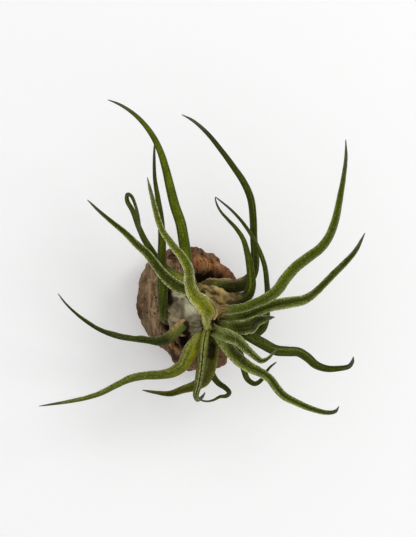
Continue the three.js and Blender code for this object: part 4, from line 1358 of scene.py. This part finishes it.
    def build(self, material: Material) -> Object:
        """Carves the lump and lets it stand for its CAD node.

        Args:
            material: The wood.

        Returns:
            The piece.
        """
        ball = bmesh.new()
        bmesh.ops.create_icosphere(ball, subdivisions=self.facets, radius=1.0)
        directions = np.array([v.co for v in ball.verts])
        directions /= np.linalg.norm(directions, axis=1, keepdims=True)
        faces = [tuple(v.index for v in f.verts) for f in ball.faces]
        links = np.array([[v.index for v in e.verts] for e in ball.edges])
        ball.free()

        broad, knob = self.relief(directions)
        rounded = directions * np.array(self.radii)
        lumps, fine = self.texture(rounded, np.clip(knob / 1.6, 0, 1))
        out = broad + self.lump_height * lumps + fine
        points = rounded + directions * out[:, None] + np.array(self.middle)
        points[:, 2] = np.maximum(points[:, 2], 0.0)

        # Points below the even surface round them, near by or over a wider stretch, are hollows with painted
        # shade
        red = self.stain(directions, self.red) * (1.1 + 0.6 * lumps) * np.clip(knob - 0.2, 0, 1)
        red = np.clip(red, 0, 1)
        near = self.spread(out, links, 3) - out
        wide = self.spread(out, links, 16) - out
        sunk = np.clip(near * 4.5 - 0.15, 0, 1) + np.clip(wide * 0.9 - 0.25, 0, 1)
        # Points above it on the reddish knobs are rubbed pale and get a painted highlight
        ridge = np.clip(-near * 4.0 - 0.2, 0, 1) * np.clip(red + 0.25, 0, 1)
        values = {
            "red": red,
            "brown": np.clip(self.stain(directions, self.brown) * (0.8 + 0.6 * lumps), 0, 0.85),
            "hollow": np.clip(sunk + self.stain(directions, self.gloom), 0, 1),
            "ridge": np.clip(ridge + self.stain(directions, self.wear_and_highlight), 0, 1),
            "tan": np.clip(self.stain(directions, self.tan), 0, 1),
        }
        piece = mesh_piece("carved_wood_lump", points, faces, values, material)
        face_outward(piece)
        take_place(piece, "wood_lump")
        return piece


# Bulb and husks


def press_all(pits: tuple[Pit, ...], points: np.ndarray) -> tuple[np.ndarray, np.ndarray]:
    """Presses hollows into the points of a bulb or husk.

    Args:
        pits: The hollows.
        points: One row for each point, changed here.

    Returns:
        How much painted shade and how much painted highlight each point gets.
    """
    dark, pale = np.zeros(len(points)), np.zeros(len(points))
    for hollow in pits:
        shade = hollow.press(points, np.ones(len(points)))
        dark, pale = np.maximum(dark, shade), np.maximum(pale, -shade)
    return dark, pale


@dataclass
class Bulb:
    """The bulb's heart: overlapping leaf bases, closed at the growing point.

    Attributes:
        rings: x, y, z and radius, from its foot in the wood to the growing point.
        sides: Points round each ring.
        rows: Rings of points up it.
        bases: How many leaf bases overlap round it.
        twist: How many bases they wind round it from the foot to the growing point.
        overlap: How far a leaf base stands off the one that it lies on.
        wobble: How far it is out of round.
        girth: Its radius where its fibres' spacing is true.
        hollows: The hollow where new leaves come up, with painted shade in it, and painted shade between the
            front leaves.
    """

    rings: Rows = (
        (7, 2.5, 20, 6.5), (7.5, 2, 25, 9.6), (8, 1.5, 30, 11.3), (8.5, 0.5, 36, 12), (9.3, -1.5, 41, 11),
        (10.2, -4, 45, 8.4), (11, -5.8, 47.4, 5.4), (11.4, -6.6, 48.8, 2.4),
    )
    sides: int = 120
    rows: int = 70
    bases: int = 9
    twist: float = 2.3
    overlap: float = 0.9
    wobble: float = 0.4
    girth: float = 11.0
    hollows: tuple[Pit, ...] = (
        Pit(12.8, -4.1, 3, 2.2, 1), Pit(7.6, -8.2, 2.6, 0.2, 0.75, 3.6, -2.8),
        Pit(2.4, -3.2, 3, 1.2, 0, 3.6, -2.2),
    )

    def at(self, height: float) -> np.ndarray:
        """Gives the heart's middle and radius at a height.

        Args:
            height: The height above the ground.

        Returns:
            x, y and radius.
        """
        table = np.array(self.rings)
        return np.array([np.interp(height, table[:, 2], table[:, k]) for k in (0, 1, 3)])

    def build(self, material: Material) -> Object:
        """Builds the heart and lets it stand for its CAD node.

        Args:
            material: Leaf base.

        Returns:
            The piece.
        """
        low, high = self.rings[0][2], self.rings[-1][2]
        points, along, around = [], [], []
        for height in np.linspace(low, high, self.rows):
            x, y, radius = self.at(height)
            share = (height - low) / (high - low)
            for bearing in np.linspace(0, 2 * math.pi, self.sides, endpoint=False):
                base = (bearing / (2 * math.pi) * self.bases + share * self.twist) % 1.0
                round_off = noise.noise(Vector((math.cos(bearing), math.sin(bearing), height / 9)) * 2.2)
                stood = self.overlap * (base - 0.5) * min(1.0, radius / 6) * (1 - share)
                reach = radius + stood + self.wobble * round_off
                points.append((x + reach * math.cos(bearing), y + reach * math.sin(bearing), height))
                along.append(share)
                around.append(bearing * self.girth)
        faces = []
        for row in range(self.rows - 1):
            for k in range(self.sides):
                a, b = row * self.sides + k, row * self.sides + (k + 1) % self.sides
                faces.append((a, b, b + self.sides, a + self.sides))
        faces.append(tuple(range(self.sides))[::-1])
        faces.append(tuple(range(len(points) - self.sides, len(points))))
        spots = np.array(points)
        pit, _ = press_all(self.hollows, spots)
        values = {"along": np.array(along), "around": np.array(around), "pit": pit}
        piece = mesh_piece("overlapping_bulb_heart", spots, faces, values, material)
        face_outward(piece)
        take_place(piece, "bulb_heart")
        return piece


@dataclass
class Husk:
    """A dry outer leaf base that stands off the bulb, crinkled, with a torn rim.

    Attributes:
        name: The CAD node that it stands for.
        finish: Its paper.
        bearings: Where it starts and ends round the bulb, in degrees.
        stands_off: How far it stands off the bulb at each station.
        waves: How often its rim rises and falls.
        seed: Where its crinkles start.
        slant: How many degrees sooner its far edge ends at the foot than at the rim.
        undercut: How many degrees later its near edge starts at the foot than at the rim.
        pale: Where it is thin and pale from wear, with a painted highlight on it: x, y and radius.
        shade: Where it is sunk, with painted shade, or folded up, with a painted highlight.
        taper: How much less its far end stands off than its near one.
        stations: The heights at which its stand-off is given, evenly spread over its rows.
        clearance: How far it stands off the bulb even where its stand-off is 0.
        girth: Its radius where its fibres' spacing is true.
        wall: How thick it is at its foot.
        steps: Points along each row.
        rows: Rows of points up it.
    """

    name: str
    finish: PaperFinish
    bearings: tuple[float, float]
    stands_off: tuple[float, ...]
    waves: int
    seed: float
    slant: float = 0.0
    undercut: float = 0.0
    pale: tuple[tuple[float, float, float], ...] = ()
    shade: tuple[Pit, ...] = ()
    taper: float = 0.0
    stations: tuple[float, ...] = (27.6, 31.5, 35.5, 39.5, 43.0, 46.0, 48.2)
    clearance: float = 0.7
    girth: float = 14.0
    wall: float = 0.5
    steps: int = 110
    rows: int = 60

    def build(self, bulb: Bulb, material: Material) -> Object:
        """Builds the husk and lets it stand for its CAD node.

        Args:
            bulb: The bulb that it wraps.
            material: Its paper.

        Returns:
            The piece.
        """
        start, end = (math.radians(b) for b in self.bearings)
        marks = np.linspace(0, 1, len(self.stations))
        shells: list[list[tuple[float, float, float]]] = [[], []]
        along, around, fold = [], [], []
        for row in range(self.rows):
            level = row / (self.rows - 1)
            height, off = (np.interp(level, marks, column) for column in (self.stations, self.stands_off))
            x, y, radius = bulb.at(height)
            near = start + math.radians(self.undercut) * (1 - level)
            far = end - math.radians(self.slant) * (1 - level)
            # Crinkles 5 mm and fibres 9 mm long run up it, crests 14 mm long stand off it, its rim is torn
            for k in range(self.steps):
                share = k / (self.steps - 1)
                bearing = near + (far - near) * share
                crinkle = noise.fractal(Vector((bearing * 3.2, height / 5.0, self.seed)), 0.8, 2.0, 4)
                fibre = noise.noise(Vector((bearing * 16, height / 9.0, self.seed)))
                tear = noise.noise(Vector((bearing * 5, self.seed, 3.0)))
                crest = 1 - abs(noise.noise(Vector((bearing * 4.5, height / 14.0, self.seed + 7)))) * 3
                wave = 0.5 * level * math.sin(2 * math.pi * self.waves * share + row * 6 / self.rows)
                stood = off * (1 - self.taper * share)
                reach = radius + self.clearance + stood + wave
                reach = reach + level * 1.2 * crinkle + 0.25 * fibre + 0.9 * max(0.0, crest)
                rise = 1.2 * level * math.sin(math.pi * self.waves * share) + 1.5 * level**6 * tear
                for shell, step in zip(shells, (self.wall / 2, -self.wall / 2)):
                    out = reach + step * (1 - 0.5 * level)
                    shell.append((x + out * math.cos(bearing), y + out * math.sin(bearing), height + rise))
                along.append(level)
                around.append(bearing * self.girth)
                # The hollows between crests and crinkles get painted shade
                fold.append(min(1.0, max(0.0, 0.35 - 0.5 * crest - 0.7 * crinkle)))
        points = np.array(shells[0] + shells[1])
        pale = np.zeros(len(points))
        for x, y, radius in self.pale:
            away = np.hypot(points[:, 0] - x, points[:, 1] - y) / radius
            pale = np.maximum(pale, np.clip(1.4 - away, 0, 0.9))
        pit, raised = press_all(self.shade, points)
        values = {"along": np.array(along * 2), "around": np.array(around * 2), "fold": np.array(fold * 2)}
        values |= {"pale": np.maximum(pale, raised), "pit": pit}
        piece = mesh_piece(f"crinkled_{self.name}", points, self.faces(), values, material)
        face_outward(piece)
        take_place(piece, self.name)
        return piece

    def faces(self) -> list[tuple[int, ...]]:
        """Joins the outer shell's points, the inner shell's and their rims.

        Returns:
            The points of each face.
        """
        size = self.rows * self.steps
        faces = []
        for row in range(self.rows - 1):
            for k in range(self.steps - 1):
                a = row * self.steps + k
                quad = (a, a + 1, a + 1 + self.steps, a + self.steps)
                faces += [quad, tuple(i + size for i in reversed(quad))]
        rim = [row * self.steps for row in range(self.rows)]
        rim += [size - self.steps + k for k in range(1, self.steps)]
        rim += [row * self.steps + self.steps - 1 for row in range(self.rows - 2, -1, -1)]
        rim += list(range(self.steps - 2, 0, -1))
        return faces + [(a, b, b + size, a + size) for a, b in zip(rim, rim[1:] + rim[:1])]


HUSKS = (
    Husk(
        "dry_sheath_left", PaperFinish.GREY, bearings=(138, 226), stands_off=(1, 3, 3.8, 3.5, 2.6, 1.3, 0.1),
        waves=4, seed=2.0, slant=26.0, undercut=6.0, taper=-0.4,
        pale=((1.4, 0.9, 3.4), (-0.6, 3.6, 2.0), (3.6, -3.6, 1.6)),
        shade=(
            Pit(-2.1, 4.6, 1.3, 0.5, 0.5, 0.2, -8.6), Pit(-0.8, -4.4, 1.5, 0.1, 0.45, 5.8, 1.6),
            Pit(-8.6, 6.6, 2.4, 2.5, 1, 0.6, -3), Pit(-0.4, -6.4, 2.2, 0.6, 0.95, 0.4, -2.6),
            Pit(-3.4, -8.8, 2, 0.4, 1, 4, -2.2), Pit(3.4, -8.2, 3.4, 0.3, 0.5, 1.6, 2.4),
            Pit(-5.4, 5, 1.7, 0.5, 0.7), Pit(-6, 7.2, 1.3, -0.6, -0.6, 4, -0.8),
            Pit(4, -9.6, 1, -0.4, -0.4, 1.6, 5),
        ),
    ),
    Husk(
        "dry_sheath_right", PaperFinish.TAN, bearings=(-24, 82), stands_off=(1, 2.6, 3.6, 3.6, 2.6, 1.4, 0.8),
        waves=5, seed=9.0, taper=0.75,
        shade=(
            Pit(18.6, 3.6, 3.6, 0.4, 0.6), Pit(12.8, -4.1, 3, 1.2, 1),
            Pit(13.4, 3.8, 1.7, -0.3, -0.9, 1.8, -1.8),
        ),
    ),
)


# Scales


@dataclass
class ScaleBloom:
    """The pale scales that stand off the youngest leaves, thickest towards their rims.

    Attributes:
        leaves: Which leaves carry them, and how thickly, where 1 is usual.
        per_square_mm: How many there are where they are thickest.
        smallest: The smallest scale's radius.
        largest: The largest one's radius.
        sides: Corners of each scale.
        seed: Where they fall.
        in_middle: How thickly they lie in the middle of a blade, as a share of its rims.
        bare_base: The share of a leaf, from its root, that carries none.
    """

    leaves: dict[str, float]
    per_square_mm: float = 4.0
    smallest: float = 0.04
    largest: float = 0.11
    sides: int = 6
    seed: int = 11
    in_middle: float = 0.15
    bare_base: float = 0.05

    def flake(self) -> Object:
        """Draws one scale of radius 1: a shallow cone, so that it is closed by the leaf under it."""
        corners = [2 * math.pi * k / self.sides for k in range(self.sides)]
        points = [(math.cos(a), math.sin(a), 0.12) for a in corners] + [(0.0, 0.0, 0.32)]
        faces = [(k, (k + 1) % self.sides, self.sides) for k in range(self.sides)]
        return mesh_piece("one_scale", np.array(points) / MM, faces, {})

    def build(self, blades: dict[str, Object], tree: NodeTree, material: Material) -> Object:
        """Scatters the scales.

        Args:
            blades: The leaves' pieces by name.
            tree: The tree that scatters.
            material: The scales' finish.

        Returns:
            The piece.
        """
        points, faces, cover = [], [], []
        for name, share in self.leaves.items():
            mesh = blades[name].data
            first = sum(len(p) for p in points)
            points.append(np.array([v.co for v in mesh.vertices]))
            faces += [tuple(first + v for v in polygon.vertices) for polygon in mesh.polygons]
            across, along = read_values(mesh, "across"), read_values(mesh, "along")
            rims = self.in_middle + (1 - self.in_middle) * np.abs(across) ** 2
            cover.append(share * rims * np.clip((along - self.bare_base) * 12, 0, 1))
        values = {"cover": np.concatenate(cover)}
        surface = mesh_piece("surface_for_scales", np.vstack(points) / MM, faces, values)
        flake = self.flake()
        inputs = {
            "Flake": flake,
            "Per square metre": self.per_square_mm / MM**2,
            "Smallest": self.smallest * MM,
            "Largest": self.largest * MM,
            "Seed": self.seed,
            "Finish": material,
        }
        piece = grow(surface, tree, inputs, "leaf_scales")
        bpy.data.objects.remove(flake)
        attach(piece, "root")
        log.info("%s: %d faces", piece.name, len(piece.data.polygons))
        return piece


# Setting


@dataclass
class Studio:
    """The plain pale table, soft light from the right, and the camera straight above.

    Attributes:
        table: The table's colour.
        table_reach: How far it reaches each way.
        key_watts: Strength of the large soft light.
        key_size: Its width.
        key_place: Where it hangs; it faces the plant.
        overhead: Brightness of the soft light from straight above.
        horizon: Brightness of the soft light from the sides.
        glow: How much light the table gives off though it is no lamp, painted light that softens the shadows
            on it.
    """

    table: int = 0xF5F5F5
    table_reach: float = 12000.0
    key_watts: float = 7.0
    key_size: float = 700.0
    key_place: tuple[float, float, float] = (1000.0, 600.0, 1200.0)
    overhead: float = 1.07
    horizon: float = 0.6
    glow: float = 0.13

    def lay_table(self) -> None:
        """Lays the table."""
        made, tree, (place,) = start_material("plain pale table, matte paint")
        cloud = add_node(tree, "ShaderNodeTexNoise", None, {"Vector": place, "Scale": 1 / (60 * MM)})
        colours = {0: cloud, 6: linear(self.table), 7: linear(self.table - 0x010101)}
        colour = add_node(tree, "ShaderNodeMix", COLOURS, colours, out=2)
        # The table glows, painted light that lightens the shadows on it
        close_material(tree, colour, 0.9, cloud, 0.01, glow=self.glow)
        corners = np.array([(-1, -1, 0), (1, -1, 0), (1, 1, 0), (-1, 1, 0)]) * self.table_reach
        table = mesh_piece("table", corners, [(0, 1, 2, 3)], {}, made)

    def hang_light(self) -> None:
        """Hangs the large soft light, and sets the even light round it."""
        lamp = bpy.data.lights.new("soft light", "AREA")
        lamp.shape = "DISK"
        lamp.size = self.key_size * MM
        lamp.energy = self.key_watts
        light = put_in_scene("soft light", lamp)
        light.location = Vector(self.key_place) * MM
        aim = Vector(VIEW_MIDDLE) * MM - light.location
        light.rotation_euler = aim.to_track_quat("-Z", "Y").to_euler()

        world = bpy.data.worlds.new("even light")
        world.use_nodes = True
        tree = world.node_tree
        tree.nodes.clear()
        direction = add_node(tree, "ShaderNodeTexCoord", out="Generated")
        height = add_node(tree, "ShaderNodeSeparateXYZ", None, {0: direction}, out="Z")
        levels = {"Value": height, "To Min": self.horizon, "To Max": self.overhead}
        level = add_node(tree, "ShaderNodeMapRange", None, levels)
        sky = add_node(tree, "ShaderNodeBackground", None, {"Strength": level})
        add_node(tree, "ShaderNodeOutputWorld", None, {"Surface": sky})
        bpy.context.scene.world = world

    def set_camera(self) -> None:
        """Sets the camera in the photograph's place."""
        lens = bpy.data.cameras.new("camera above")
        lens.sensor_width = SENSOR_MM
        lens.lens = SENSOR_MM * CAMERA_DISTANCE / (PHOTO_HEIGHT_PX * PIXEL_MM)
        lens.clip_end = 100.0
        camera = put_in_scene("camera above", lens)
        camera.location = (Vector(VIEW_MIDDLE) + Vector((0, 0, CAMERA_DISTANCE))) * MM
        bpy.context.scene.camera = camera
        bpy.context.scene.view_settings.view_transform = "Standard"

    def build(self) -> None:
        """Sets the table, the light and the camera."""
        self.lay_table()
        self.hang_light()
        self.set_camera()


def main() -> None:
    """Builds the plant, the wood and their setting."""
    logging.basicConfig(level=logging.INFO, format="%(name)s: %(message)s")
    sweep, scatter = blade_tree(), scatter_tree()
    skins = {finish: finish.value.material(f"{finish.name.lower()} tillandsia leaf") for finish in LeafFinish}
    papers = {finish: finish.value.material(f"{finish.name.lower()} dry leaf base") for finish in PaperFinish}
    blades = {leaf.name: leaf.build(sweep, skins) for leaf in LEAVES}
    bulb = Bulb()
    bulb.build(papers[PaperFinish.OLIVE])
    for husk in HUSKS:
        husk.build(bulb, papers[husk.finish])
    WoodLump().build(WoodSkin().material("weathered burl wood"))
    bloom = {
        "leaf_pale_middle": 1.0, "leaf_short_hooked": 1.8, "leaf_short_folded": 0.8,
        "leaf_right_upper_long": 0.5, "leaf_right_long": 0.35, "leaf_lower_right_long": 0.4,
        "leaf_lower_left_long": 0.3, "leaf_upper_left": 0.25, "leaf_folded_front": 0.4,
    }
    ScaleBloom(bloom).build(blades, scatter, ScaleSkin().material("silvery leaf scales"))
    Studio().build()


if __name__ == "__main__":
    main()
